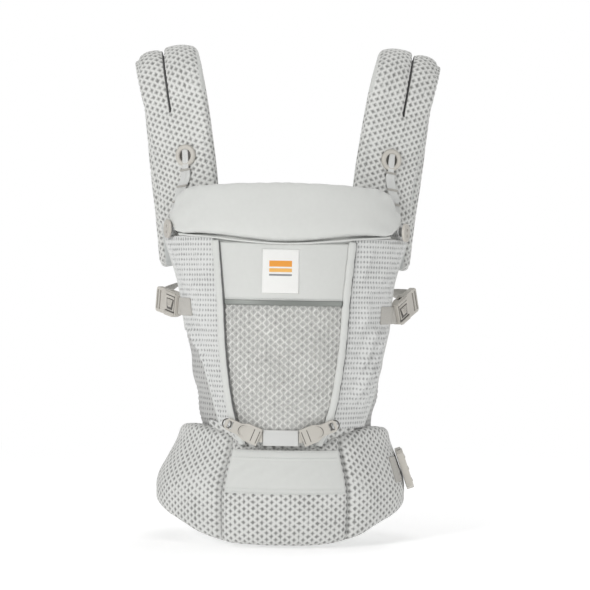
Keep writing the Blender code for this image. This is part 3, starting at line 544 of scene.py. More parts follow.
def webbing_fabric(name, color):
    """Woven webbing: chevron ribs with slightly darker edges between the yarns."""
    g = Graph(name, 0.72, sheen=0.2)
    vector, u, v, _ = g.place()
    fold = abs((v / 0.0042).fract() - 0.5)
    rib = g.ramp(abs((u / 0.0014 + fold * 2.6).fract() - 0.5), 0.08, 0.42, 1.0, 0.0)
    g.color(color, 0.86 + (rib * 0.14 + g.noise(vector, 60.0) * 0.06))
    g.bump(rib, 0.0004, 0.7)
    return g.material


def moulded_plastic(name, color):
    """Satin moulded plastic with fine spark texture and flow marks, lighter along its sharp edges."""
    g = Graph(name, 0.42)
    vector = g.place("Object")[0]
    cloud = g.noise(vector, 45.0)
    # The colour is lifted along the sharp edges, found from the mesh's pointiness.
    sharp_edges = g.ramp(g.node("NewGeometry", "Pointiness"), 0.52, 0.60)
    g.color(color, 0.94 + (cloud * 0.10 + sharp_edges * 0.12))
    g.put(g.shader.inputs["Roughness"], g.ramp(cloud, 0.3, 0.7, 0.36, 0.50))
    g.bump(g.noise(vector, 2600.0, 2.0), 0.00008, 0.4)
    return g.material


def reflective_tape(name):
    """Grey tape with glass beads and fine ridges."""
    g = Graph(name, 0.38, metallic=0.35)
    vector, _, v, _ = g.place()
    beads = g.noise(vector, 1500.0, 1.0)
    ridge = (v * (math.tau / 0.0012)).math("SINE")
    g.color((0.20, 0.212, 0.198), 0.9 + beads * 0.25)
    g.bump(beads + ridge * 0.4, 0.0001, 0.5)
    return g.material


def label_fabric(name):
    """White woven label with plain coloured bars: a generic mark with no lettering."""
    g = Graph(name, 0.65, sheen=0.2)
    _, u, v, _ = g.place()
    inside = abs(u).math("LESS_THAN", 0.0155)
    color = (0.76, 0.76, 0.74)
    for middle, half, bar in ((0.0100, 0.0042, (0.74, 0.30, 0.035)), (0.0010, 0.0026, (0.76, 0.41, 0.10)),
                              (-0.0055, 0.0013, (0.22, 0.23, 0.24))):
        color = g.mix(abs(v - middle).math("LESS_THAN", half) * inside, color, bar)
    thread = g.weave(u, v, 0.0007)
    g.color(color, 1.0 + thread * 0.05)
    g.bump(thread, 0.00012, 0.6)
    return g.material


PALE = (0.560, 0.568, 0.548)
BELT_CELL, PAD_CELL, PANEL_CELL = (0.0124, 0.0096), (0.0134, 0.0093), (0.0123, 0.0103)
WING_CELL, GUSSET_CELL = (0.00475, 0.0071), (0.0078, 0.0076)
BELT_SWAY, PAD_SWAY, PANEL_SWAY = 0.17, 0.18, 0.18
PAD_GRAIN = math.radians(-8)
MESH_BELT = mesh_fabric("belt_mesh", (0.62, 0.622, 0.605), (0.205, 0.207, 0.198), BELT_CELL, 0.10, 0.86,
                        BELT_SWAY)
MESH_PAD = mesh_fabric("pad_mesh", (0.62, 0.622, 0.603), (0.20, 0.202, 0.193), PAD_CELL, 0.05, 0.92, PAD_SWAY)
MESH_PANEL = mesh_fabric("panel_mesh", (0.66, 0.66, 0.635), (0.425, 0.425, 0.408), PANEL_CELL, 0.70, 1.0,
                         PANEL_SWAY, spot=(0.27, 0.27, 0.26))
MESH_WING = mesh_fabric("wing_mesh", (0.62, 0.625, 0.615), (0.31, 0.315, 0.31), WING_CELL, 0.10, 0.85,
                        faded=0.22)
# The gusset mesh is darker than the wing mesh: partly its own darker yarn and partly painted shade, as the
# gussets sit back behind the wings.
MESH_GUSSET_SHADED = mesh_fabric("gusset_mesh", (0.45, 0.45, 0.44), (0.20, 0.20, 0.195), GUSSET_CELL, 0.15, 0.85)
# Near-black cloth that paints the shadow in the gap beside each piping cord and at the bottom of each pad's
# slit.
PAINTED_GAP_SHADOW = smooth_fabric("gap_shadow_paint", (0.10, 0.10, 0.10))
SMOOTH = smooth_fabric("smooth_cotton", PALE)
PILLOW_CLOTH = smooth_fabric("smooth_cotton_pillow", PALE, kind="Object", pitch=0.0009)
LINING = smooth_fabric("lining_cotton", (0.56, 0.575, 0.565))
THREAD = smooth_fabric("sewing_thread", (0.50, 0.515, 0.505))
WEB_PALE = webbing_fabric("pale_webbing", (0.63, 0.635, 0.62))
WEB_TAN = webbing_fabric("tan_webbing", (0.47, 0.455, 0.42))
PLASTIC = moulded_plastic("tan_moulding", (0.455, 0.435, 0.395))
# Near-black plastic that paints the shade in the buckles' windows and slots, inside the eyelet's hole, beside
# the tab's emboss and end bars, and in the buttonhole at the tab's tip.
PAINTED_SHADE_PLASTIC = moulded_plastic("recess_shade_paint", (0.075, 0.070, 0.062))
TAPE = reflective_tape("reflective_tape")
LABEL = label_fabric("label_weave")


# ---------------------------------------------------------------- waistbelt

def belt_panel(name, start, end, nodes):
    """Padded belt panel between two seams or the belt's free end, as one closed quilted skin."""
    degrees = np.linspace(start, end, int(abs(end - start) / 0.66))
    turn = np.radians(degrees)
    bottom, top = belt_heights(degrees)
    middle, half = ((top + bottom) / 2)[:, None], (top - bottom) / 2
    free = np.clip((np.abs(degrees) - BELT_TAPER) / (BELT_END - BELT_TAPER), 0, 1)
    half = (half * np.sqrt(np.clip(1 - 0.80 * free ** 2, 0.02, 1)))[:, None]
    run = run_of(belt_round(turn, np.full_like(turn, 0.07)))
    run = (run + BELT_HALF_WIDTH * 0.82 * turn[0])[:, None]
    seam = np.minimum(np.abs(degrees - LEFT_SEAM), np.abs(degrees - RIGHT_SEAM)) * 0.0026
    thick = BELT_FACE * (1 - 0.52 * peak(seam, 0.0045)) * np.sqrt(np.clip(1 - 0.93 * free ** 6, 0.02, 1))
    seam, thick = seam[:, None], thick[:, None]
    pa, pb, na, nb, along_face = section(196, half, thick, thick * 0.92)
    outer = smooth(-0.4, 0.5, pb / thick)
    puff = 0.0022 * (1 - (pa / half) ** 2) * (1 - peak(seam, 0.012))
    ripple = 0.0007 * np.sin(run * 95 + 1.7 * np.sin(pa * 60)) * np.sin(pa * 55 + run * 20)
    uv = stack(run, middle + along_face)
    dents = 0.0013 * (1 - smooth(0.10, 0.70, net(uv[..., 0], uv[..., 1], *BELT_CELL, BELT_SWAY)))
    lift = outer * (puff + ripple - dents)
    rings = belt_round(turn[:, None], middle + pa) + belt_normal(turn)[:, None] * (pb + lift * nb)[..., None]
    rings = rings + UP * (lift * na)[..., None]
    halfway = len(turn) // 2
    kinds = (pb[halfway] < -0.98 * thick[halfway]).astype(int)
    attach(sweep(name, rings, uv, [MESH_BELT, LINING], kinds), "carrier_body", nodes)


def build_belt():
    belt_panel("belt_panel_center", LEFT_SEAM, RIGHT_SEAM,
               ("waistbelt_cover_center", "waistbelt_foam", "waistbelt_lining"))
    belt_panel("belt_panel_left", -BELT_END, LEFT_SEAM, ("waistbelt_cover_left",))
    belt_panel("belt_panel_right", RIGHT_SEAM, BELT_END, ("waistbelt_cover_right",))
    build_front_band()
    for side, place in (("left", LEFT_SEAM), ("right", RIGHT_SEAM)):
        z = np.linspace(*belt_heights(np.array([place])), 80)[5:-5, 0]
        seam = belt_surface(np.full_like(z, place), z, np.full_like(z, 0.0066))
        stitches(f"belt_seam_stitches_{side}", "carrier_body", seam,
                 seam * 0 + belt_normal(np.radians(place)))


def build_front_band():
    """Smooth band across the belt's front, folded at its top and bottom hems."""
    low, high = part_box("waistbelt_front_band")
    bottom, top = low[2], high[2]
    upper_hem, lower_hem, inset, band_out = 0.0125, 0.0075, 0.0022, 0.0118
    rows = {"top": top - inset, "hem": top - upper_hem + 0.002, "foot": bottom + inset,
            "foot_hem": bottom + lower_hem - 0.0012}

    def crown(degrees):
        return 0.0024 * (1 - (np.abs(degrees) / BELT_SEAM) ** 2 * 0.6)

    degrees = np.linspace(-BAND_ANGLE, BAND_ANGLE, 100)[:, None]
    z = np.linspace(bottom, top, 60)[None, :] + 0.0 * degrees
    hem = np.maximum(smooth(top - upper_hem - 0.0008, top - upper_hem + 0.0008, z),
                     1 - smooth(bottom + lower_hem - 0.0008, bottom + lower_hem + 0.0008, z))
    groove = sum(peak(z - rows[label], 0.0008) for label in ("top", "hem", "foot"))
    x, height = np.radians(degrees) * 0.15, (z - bottom) / (top - bottom)
    waves = 0.0004 * np.sin(x * 210 + 3 * np.sin(z * 90)) * np.sin(height * math.pi)
    edge = (1 - (np.abs(degrees) / BAND_ANGLE) ** 60) * (1 - np.abs(2 * height - 1) ** 60)
    offset = band_out + crown(degrees) + 0.0010 * edge + 0.0006 * hem - 0.0004 * groove + waves
    degrees = degrees + BELT_TWIST
    front = belt_surface(degrees, z, offset)
    back = belt_surface(degrees, z, 0 * offset + BELT_FACE)
    attach(slab("front_band", front, back, stack(np.radians(degrees) * 0.15, z), SMOOTH), "carrier_body",
           ("waistbelt_front_band",))
    for label, place in rows.items():
        turn = np.linspace(-BAND_ANGLE + 1, BAND_ANGLE - 1, 120)
        path = belt_surface(turn + BELT_TWIST, np.full_like(turn, place), band_out + crown(turn) + 0.0014)
        stitches(f"band_stitches_{label}", "carrier_body", path, belt_normal(np.radians(turn + BELT_TWIST)))


def build_waist_webbing():
    """The webbing that closes the belt behind the wearer, and its anchor in front of the buckle."""
    low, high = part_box("waist_webbing")
    middle, half = (low[2] + high[2]) / 2, (high[2] - low[2]) / 2
    for name, start, end in (("waist_webbing", 106, 241), ("waist_buckle_anchor", 68, 77)):
        degrees = np.linspace(start, end, 90)
        z, lift = np.full_like(degrees, middle), np.full_like(degrees, 0.0140)
        path = round_path(belt_surface(degrees, z, lift), 0.0016)
        lean = belt_surface(degrees, z + half, lift) - belt_surface(degrees, z - half, lift)
        places = np.linspace(0, 1, len(path)), np.linspace(0, 1, len(lean))
        lean = np.stack([np.interp(*places, lean[:, i]) for i in range(3)], axis=-1)
        attach(ribbon(name + "_cloth", path, lean, half, WEB_TAN), "carrier_body", (name,))


# ---------------------------------------------------------------- front panel

def panel_grid(left, right, bottom, top, step, across_step=None):
    """x and z grids of a piece between two half-width curves of height, and the share of the way across."""
    z = np.linspace(bottom, top, max(6, int((top - bottom) / step)))
    widest = np.abs(right(z) - left(z)).max()
    u = np.linspace(0, 1, max(4, int(widest / (across_step or step))))[:, None]
    x = left(z)[None, :] * (1 - u) + right(z)[None, :] * u
    return x, np.broadcast_to(z[None, :], x.shape), np.broadcast_to(u, x.shape)


def even_grid(margin, bottom, top, step, across_step=None):
    """Grids of a piece that reaches a margin past the panel's half width on both sides."""
    return panel_grid(lambda z: -half_width(z) - margin, lambda z: half_width(z) + margin, bottom, top, step,
                      across_step)


def arc_length(x, z):
    """Length over the panel's surface from its middle line to x."""
    total, steps = np.zeros_like(x), 24
    for i in range(steps):
        a, b = x * i / steps, x * (i + 1) / steps
        total = total + np.sign(x) * np.hypot(b - a, panel_depth(b, z) - panel_depth(a, z))
    return total


def panel_piece(name, x, z, front, back, finish, nodes):
    """Sheet between the offsets front and back from the panel's middle surface."""
    made = slab(name, on_panel(x, z, front), on_panel(x, z, back), stack(arc_length(x, z), z), finish)
    attach(made, "carrier_body", nodes)


def build_center():
    x, z, u = even_grid(0.001, 0.146, PANEL_MESH_TOP + 0.002, 0.0014)
    puff = 0.0024 + 0.0014 * (1 - np.abs(2 * u - 1) ** 9)
    cells = net(arc_length(x, z), z, *PANEL_CELL, PANEL_SWAY)
    relief = 0.0013 * smooth(0.60, 0.95, cells) - 0.0006 * (1 - smooth(0.05, 0.35, cells))
    sag = 0.0008 * np.sin(z * 70 + 2 * np.sin(x * 40)) * (1 - np.abs(2 * u - 1) ** 4)
    clear_of_tabs = (0.1 + 0.9 * smooth(0.175, 0.215, z)) \
        * (1 - 0.45 * smooth(PANEL_MESH_TOP - 0.007, PANEL_MESH_TOP - 0.001, z))
    panel_piece("center_mesh", x, z, (puff + relief + sag) * clear_of_tabs + 0.0004, -0.0004, MESH_PANEL,
                ("panel_center_mesh",))
    x, z, u = even_grid(0.001, TRIM_TOP - 0.001, YOKE_TOP + 0.004, 0.0025)
    folds = 0.0007 * peak(u - 0.13, 0.05) * np.sin(z * 110) + 0.0006 * np.sin(x * 55 + z * 30)
    panel_piece("yoke", x, z, 0.0034 + folds * np.sin(u * math.pi), -0.0004, SMOOTH, ("panel_yoke",))
    x, z, _ = even_grid(0.0005, PANEL_MESH_TOP - 0.0006, TRIM_TOP, 0.0011, 0.0025)
    panel_piece("trim_tape", x, z, 0.0050, 0.0002, TAPE, ("panel_trim_strip",))
    build_label()
    x, z, _ = even_grid(PIPING_WIDTH, 0.142, YOKE_TOP + 0.004, 0.004)
    panel_piece("lining_panel", x, z, -0.0012, -0.0028, LINING, ("panel_lining",))
    for height, label in ((PANEL_MESH_TOP - 0.0030, "mesh"), (TRIM_TOP + 0.0022, "yoke")):
        xs = np.linspace(-half_width(height) + 0.002, half_width(height) - 0.002, 100)
        zs = np.full_like(xs, height)
        stitches(f"trim_stitches_{label}", "carrier_body", on_panel(xs, zs, 0.0038), panel_out(xs, zs))


def build_hems():
    """Upper hem behind the pillow's foot, and the mesh that runs from the panel's foot down to the belt."""
    inset, reach = 0.012, 0.104
    x, z, _ = panel_grid(lambda z: -wing_edge(-1, z) + inset, lambda z: wing_edge(1, z) - inset, 0.414,
                         0.4385, 0.003)
    panel_piece("top_hem", x, z, -0.0032, -0.0050, SMOOTH, ())
    across = np.linspace(-reach, reach, 140)[:, None]
    share = np.linspace(0, 1, 26)[None, :]
    turn = np.arcsin(across / (BELT_HALF_WIDTH * 0.86))
    _, top = belt_heights(np.degrees(turn))
    foot = belt_round(turn, top - 0.006) + belt_normal(turn) * 0.001
    high = np.maximum(top + 0.012, 0.151 + 0 * top)
    head = stack(across, panel_depth(across, high) + 0.001, high)
    base = head * (1 - share[..., None]) + foot * share[..., None]
    out = unit(np.cross(np.gradient(base, axis=1), np.gradient(base, axis=0)))
    out = out * np.sign(-out[..., 1:2])
    uv = stack(across + 0 * share, base[..., 2])
    cells = net(uv[..., 0], uv[..., 1], *BELT_CELL, BELT_SWAY)
    front = base + out * (0.0010 * smooth(0.1, 0.7, cells))[..., None]
    attach(slab("panel_root", front, base - out * 0.0022, uv, MESH_BELT), "carrier_body")


def build_label():
    (x0, _, z0), (x1, _, z1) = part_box("label_patch")
    x, z, _ = panel_grid(lambda z: x0 + 0 * z, lambda z: x1 + 0 * z, z0, z1, 0.0012)
    border = np.minimum(np.minimum(x - x0, x1 - x), np.minimum(z - z0, z1 - z))
    front = 0.0042 + 0.0006 * smooth(0, 0.0008, border) - 0.0002 * peak(border - 0.002, 0.0006)
    uv = stack(x - (x0 + x1) / 2, z - (z0 + z1) / 2)
    attach(slab("label", on_panel(x, z, front), on_panel(x, z, 0.0030), uv, LABEL), "carrier_body",
           ("label_patch",))


def build_piping():
    """Padded cords down both sides of the panel, with a thin near-black cord along their inner sides that
    paints the shadow in the gap beside them.
    """
    z = np.linspace(0.143, 0.4275, 150)
    x = half_width(z) + PIPING_WIDTH / 2
    x = x - 0.35 * np.clip(0.166 - z, 0, 1)
    right_out = panel_out(x, z)
    run = np.linspace(0, 1, len(z))
    puff = 1 + 0.05 * np.sin(run * 60) + 0.03 * np.sin(run * 143)
    for side, sign in SIDES.items():
        path, across, out = (part * np.array([sign, 1, 1])
                             for part in (on_panel(x, z, 0.0034), np.cross(right_out, UP), right_out))
        attach(tube(f"piping_{side}", path, across, 0.0057 * puff, 0.0042 * puff, SMOOTH, around=20),
               "carrier_body", (f"panel_piping_{side}",))
        # A thin near-black cord beside each piping paints the shadow in the gap between the cord and the
        # centre mesh.
        gap_line = path - across * 0.0058 * sign + out * 0.0004
        attach(tube(f"piping_gap_shadow_{side}", gap_line, across, 0.0008, 0.0016, PAINTED_GAP_SHADOW, around=8),
               "carrier_body")


# ---------------------------------------------------------------- wings and gussets

# Start x and z, end x and z, height and width of each crease.
WING_CREASES = ((0.142, 0.306, 0.096, 0.190, 0.0080, 0.0048), (0.132, 0.316, 0.104, 0.236, 0.0062, 0.0040),
                (0.138, 0.275, 0.104, 0.178, 0.0058, 0.0040), (0.130, 0.350, 0.104, 0.296, 0.0044, 0.0050),
                (0.150, 0.378, 0.108, 0.352, 0.0036, 0.0050), (0.126, 0.424, 0.106, 0.366, 0.0026, 0.0060),
                (0.156, 0.420, 0.130, 0.362, 0.0032, 0.0050))


def wing_folds(x, z):
    """Soft creases that run down from the side buckle towards the panel's foot, steeper on one side."""
    x = np.abs(x)
    total = np.zeros_like(x)
    for x0, z0, x1, z1, size, wide in WING_CREASES:
        line = np.array([x1 - x0, z1 - z0])
        length = np.hypot(*line)
        t = ((x - x0) * line[0] + (z - z0) * line[1]) / length
        d = ((x - x0) * line[1] - (z - z0) * line[0]) / length
        fall = peak(d, np.where(d > 0, wide * 1.6, wide * 0.40))
        total += size * fall * smooth(-0.01, 0.02, t) * (1 - smooth(length * 0.6, length, t))
    gathers = np.sin(z * math.tau / 0.0155 + 2.4 * np.sin(x * 70) + 1.3 * np.sin(z * 61))
    total += 0.0011 * gathers * smooth(0.175, 0.20, z) * (1 - smooth(0.29, 0.34, z))
    webbing_here = smooth(0.115, 0.125, x) * (1 - smooth(0.018, 0.026, np.abs(z - 0.330)))
    return total * (1 - webbing_here)


def build_wings():
    for side, sign in SIDES.items():
        def inner(z, sign=sign):
            return sign * (half_width(z) + PIPING_WIDTH - 0.0035)

        def front_edge(z, sign=sign):
            cut = np.where(z < WING_FRONT_EDGE_TOP, along(WING_FRONT_EDGE[sign], z), 1)
            return sign * np.maximum(np.minimum(wing_edge(sign, z), cut), np.abs(inner(z)) + 0.008)

        x, z, u = panel_grid(inner, front_edge, 0.166, 0.4335, 0.0014)
        cells = oval(arc_length(x, z), z, *WING_CELL)
        rim = smooth(0, 0.05, u) * (1 - smooth(0.94, 1.0, u))
        folds, free = wing_folds(x, z), 1 - smooth(0.9, 1, u)
        front = 0.0022 + 0.0012 * rim + folds * free - 0.0013 * (1 - smooth(0.15, 0.60, cells)) * rim
        panel_piece(f"wing_{side}", x, z, front, folds * 0.4 * free, MESH_WING, (f"side_wing_{side}",))
        build_wing_edge(side, sign, front_edge)
        x, z, u = panel_grid(lambda z, sign=sign: sign * (half_width(z) + 0.004),
                             lambda z, sign=sign: sign * (wing_edge(sign, z) + 0.0045), 0.146, 0.300, 0.0018)
        cells = oval(arc_length(x, z), z, *GUSSET_CELL)
        front = -0.0036 - 0.0010 * (1 - smooth(0.15, 0.66, cells)) + 0.0012 * np.sin(z * 120 + x * 60)
        # The gussets take the darker mesh, which partly paints the shade they sit in.
        panel_piece(f"gusset_{side}", x, z, front, -0.0062, MESH_GUSSET_SHADED, (f"seat_gusset_{side}",))


def build_wing_edge(side, sign, front_edge):
    """Narrow binding sewn over a wing's outer edge, with its row of stitches."""
    z = np.linspace(0.167, 0.4295, 150)
    x = front_edge(z)
    path = on_panel(x, z, 0.0012)
    across = np.cross(panel_out(x, z), UP)
    attach(tube(f"wing_binding_{side}", path, across, 0.0022, 0.0019, SMOOTH, around=10), "carrier_body")
    x = x - sign * 0.0065
    stitches(f"wing_stitches_{side}", "carrier_body", on_panel(x, z, 0.0034), panel_out(x, z))


# ---------------------------------------------------------------- head support

def pillow_shape(shrink):
    """Closed crescent: front and back grids that meet along the seam."""
    s = np.linspace(-1, 1, 110)[:, None]
    v = np.linspace(0, 1, 40)[None, :]
    x = s * (PILLOW_HALF_WIDTH + 0.003) + 0 * v
    low, high = along(PILLOW_BOTTOM, np.abs(x)), along(PILLOW_TOP, np.abs(x))
    z = low + (high - low) * v
    crown = (1 - np.abs(2 * v - 1) ** 3) ** 0.6
    thick = (0.0045 + PILLOW_CROWN * crown * (1 - 0.72 * s ** 4) * (1 - 0.3 * s ** 2)) * shrink
    return slab("pillow_start", on_panel(x, z, thick), on_panel(x, z, -thick), stack(arc_length(x, z), z),
                PILLOW_CLOTH)


def points_of(made):
    flat = np.empty(len(made.data.vertices) * 3)
    made.data.vertices.foreach_get("co", flat)
    return flat.reshape(-1, 3)


def bake_mesh(made):
    """Turns a piece's modifiers into its mesh."""
    bpy.context.view_layer.update()
    shape = bpy.data.meshes.new_from_object(made.evaluated_get(bpy.context.evaluated_depsgraph_get()))
    made.modifiers.clear()
    made.data = shape


def inflate(start, name, finish, voxel, pressure, cap, frames=20):
    """Fills a closed shell like a stuffed cover by cloth simulation and keeps the result as its mesh.

    No point moves further than cap.
    """
    made = link(name, start.data.copy())
    bpy.data.objects.remove(start, do_unlink=True)
    remesh = made.modifiers.new("even_cells", "REMESH")
    remesh.mode = "VOXEL"
    remesh.voxel_size = voxel
    bake_mesh(made)
    before = points_of(made)
    cloth = made.modifiers.new("stuffing", "CLOTH").settings
    cloth.quality = 6
    cloth.mass = 0.25
    cloth.use_pressure = True
    cloth.uniform_pressure_force = pressure
    cloth.tension_stiffness = cloth.compression_stiffness = 25
    cloth.bending_stiffness = 1.2
    cloth.effector_weights.gravity = 0
    for number in range(1, frames + 1):
        bpy.context.scene.frame_set(number)
    bake_mesh(made)
    bpy.context.scene.frame_set(1)
    move = points_of(made) - before
    size = np.linalg.norm(move, axis=1, keepdims=True)
    after = before + move * np.minimum(1, cap / np.maximum(size, 1e-9))
    made.data.vertices.foreach_set("co", after.ravel())
    soften = made.modifiers.new("soften", "SMOOTH")
    soften.factor = 0.5
    soften.iterations = 4
    finer = made.modifiers.new("finer", "SUBSURF")
    finer.levels = finer.render_levels = 1
    bake_mesh(made)
    made.data.materials.clear()
    made.data.materials.append(finish)
    made.data.shade_smooth()
    return made


def build_head_support():
    pillow = inflate(pillow_shape(shrink=0.90), "head_pillow", PILLOW_CLOTH, voxel=0.005, pressure=4.0,
                     cap=0.006)
    pillow_wrinkles(pillow)
    attach(pillow, "head_support",
           ("head_pillow_foam", "head_pillow_cover", "head_pillow_back"))
    x = np.linspace(-0.146, 0.146, 220)
    z = along(PILLOW_BOTTOM, np.abs(x)) + 0.0004
    path = on_panel(x, z, 0.0060)
    across = np.cross(panel_out(x, z), unit(np.gradient(path, axis=0)))
    attach(tube("pillow_cord", path, across, 0.0014, 0.0014, SMOOTH), "head_support",
           ("head_piping",))


def pillow_wrinkles(pillow):
    """Small puckers that gather from the seam into both ends and along the lower edge."""
    points = points_of(pillow)
    x, z = points[:, 0], points[:, 2]
    low, high = along(PILLOW_BOTTOM, np.abs(x)), along(PILLOW_TOP, np.abs(x))
    v = np.clip((z - low) / (high - low), 0, 1)
    near_ends = smooth(0.105, 0.155, np.abs(x))
    near_seam = peak(v, 0.12) + peak(1 - v, 0.10)
    lift = 0.0009 * near_seam * np.sin(x * 260 + 2 * np.sin(x * 47))
    lift += 0.0010 * near_ends * np.sin(z * 190 + np.abs(x) * 90)
    lift += 0.0008 * np.sin(x * 31 + z * 22)
    front = np.where(points[:, 1] < panel_depth(x, z), 1, -1)
    points = points + panel_out(x, z) * (lift * front)[:, None]
    pillow.data.vertices.foreach_set("co", points.ravel())
    pillow.data.update()


# ---------------------------------------------------------------- shoulder straps

PAD_SLIT, SLIT_OPENING = 0.0062, 0.0012
SLIT_START, SLIT_END = PAD_LEG - 0.029, PAD_LEG + ARCH_LENGTH - 0.02
PAD_TIP, PAD_CORNER, PAD_STEP, PAD_STITCH_INSET = 0.012, 0.0065, 0.0017, 0.0075
# Finer places across the slit, from its middle.
SLIT_PLACES = np.array([-0.006, -0.004, -0.0027, -0.0018, -0.0011, -0.0005, 0,
                        0.0005, 0.0011, 0.0018, 0.0027, 0.004, 0.006])


def pad_ring():
    """Places around a pad's section as fractions of its perimeter, finer where the slit is."""
    perimeter = 2 * (2 * PAD_HALF_WIDTH + 2 * PAD_HALF_THICK) - 8 * PAD_CORNER + 2 * math.pi * PAD_CORNER
    even = np.arange(0, 1, PAD_STEP / perimeter)
    even = even[np.abs(even - PAD_SLIT / perimeter) > 0.0066 / perimeter]
    return np.sort(np.concatenate([even, (SLIT_PLACES + PAD_SLIT) / perimeter]))


def build_pad(side, sign):
    """Padded mesh strap: two lobes over the shoulder with a slit between, seams along its side walls."""
    body = f"shoulder_strap_{side}"
    lengths = np.linspace(0, PAD_LENGTH, int(PAD_LENGTH / PAD_STEP))
    center, width, out, turn = pad_frame(sign, lengths)
    end = np.minimum(np.minimum(lengths, PAD_LENGTH - lengths), PAD_TIP)
    tip = np.sqrt(np.clip(1 - ((PAD_TIP - end) / PAD_TIP) ** 2, 0.03, 1))[:, None]
    half_a = (PAD_HALF_WIDTH + 0.0008) * (0.82 + 0.18 * tip)
    half_b = PAD_HALF_THICK * (0.30 + 0.70 * tip)
    arched = np.sin(np.clip(turn, 0, math.pi))[:, None]
    corner = (0.0068 + 0.0024 * arched) * (0.3 + 0.7 * tip)
    pa, pb, na, nb, run_across = section(pad_ring(), half_a, half_b, corner)
    s = lengths[:, None]
    outer, edge = smooth(-0.2, 0.9, nb), pa / half_a
    step_height, round_off = 0.0010 + 0.0030 * arched, 0.0012 + 0.0085 * arched
    puff = 0.0036 * (1 - edge ** 2) * outer + 0.0016 * (1 - edge ** 2) * smooth(0.2, 0.9, -nb)
    rounding = np.clip((pb / half_b + 1) / 2, 0, 1) * round_off * np.abs(edge) ** 5
    open_slit = smooth(SLIT_START - 0.004, SLIT_START + 0.006, s) * (1 - smooth(SLIT_END, SLIT_END + 0.01, s))
    gap, lobes = pa - PAD_SLIT, open_slit * outer
    slit = lobes * (0.0080 * peak(gap, 0.0015, 4) + (0.0044 + 0.0030 * arched) * peak(np.abs(gap), 0.0055, 1))
    step_down = lobes * step_height * smooth(0.0, 0.004, gap)
    seam = 0.0010 * peak(pb, 0.0010) * (np.abs(na) > 0.6)
    uv = stack(run_across * math.cos(PAD_GRAIN) + s * math.sin(PAD_GRAIN),
               s * math.cos(PAD_GRAIN) - run_across * math.sin(PAD_GRAIN))
    cells = net(uv[..., 0], uv[..., 1], *PAD_CELL, PAD_SWAY)
    relief = -0.0014 * (1 - smooth(0.20, 0.80, cells)) * smooth(-0.6, 0.3, nb)
    waves = 0.0008 * np.sin(s * 46 + 2 * np.sin(pa * 80)) * outer
    lift = puff - slit - step_down - seam + relief + waves
    outer_edge = along(PAD_OUTER_SWELL, lengths)[:, None]
    squeeze = np.where(edge > 0, 0.0020, 0.0048) * arched ** 2 * np.abs(edge) ** 3 * np.sign(edge)
    swell = outer_edge * np.clip(edge, 0, 1) ** 2 - squeeze
    rings = center[:, None] + width[:, None] * (pa + lift * na + swell)[..., None]
    rings = rings + out[:, None] * (pb + lift * nb - rounding)[..., None]
    inner_wall = (na < -0.75) & (s > PAD_LEG - 0.005) & (s < PAD_LEG + ARCH_LENGTH * 0.6)
    # Faces at the bottom of the slit take the near-black cloth, which paints the shadow in the slit.
    slit_shade = (np.abs(gap) < SLIT_OPENING) & (open_slit > 0.5) & (nb > 0.9)
    kinds = np.where(inner_wall, 1, np.where(nb < -0.9, 2, np.where(slit_shade, 3, 0)))[:-1]
    made = sweep(f"shoulder_pad_{side}", rings, uv, [MESH_PAD, SMOOTH, LINING, PAINTED_GAP_SHADOW], kinds)
    attach(made, body,
           [f"shoulder_pad_{side}_{layer}" for layer in ("cover", "foam", "lining")])
    half = PAD_HALF_WIDTH - PAD_STITCH_INSET
    share = half / PAD_HALF_WIDTH
    for label, wall in (("inner", -1), ("outer", 1)):
        inset = wall * half - wall * 0.0040 * arched ** 2 * share ** 3
        bulge = 0.0036 * (1 - share ** 2) - round_off * share ** 5 - 0.0006
        if wall > 0:
            inset, bulge = inset + outer_edge * share ** 2, bulge - open_slit * step_height
        path = center + width * inset + out * (PAD_HALF_THICK + bulge)
        stitches(f"pad_stitches_{side}_{label}", body, path[8:-8], out[8:-8])


def pad_directions(sign, z):
    """Width, upward and outward directions of a pad's front leg at the height z."""
    s = z - PAD_FRONT_Z
    center, width, out, _ = pad_frame(sign, np.array([s - 0.004, s, s + 0.004]))
    return width[1], unit(center[2] - center[0]), out[1]


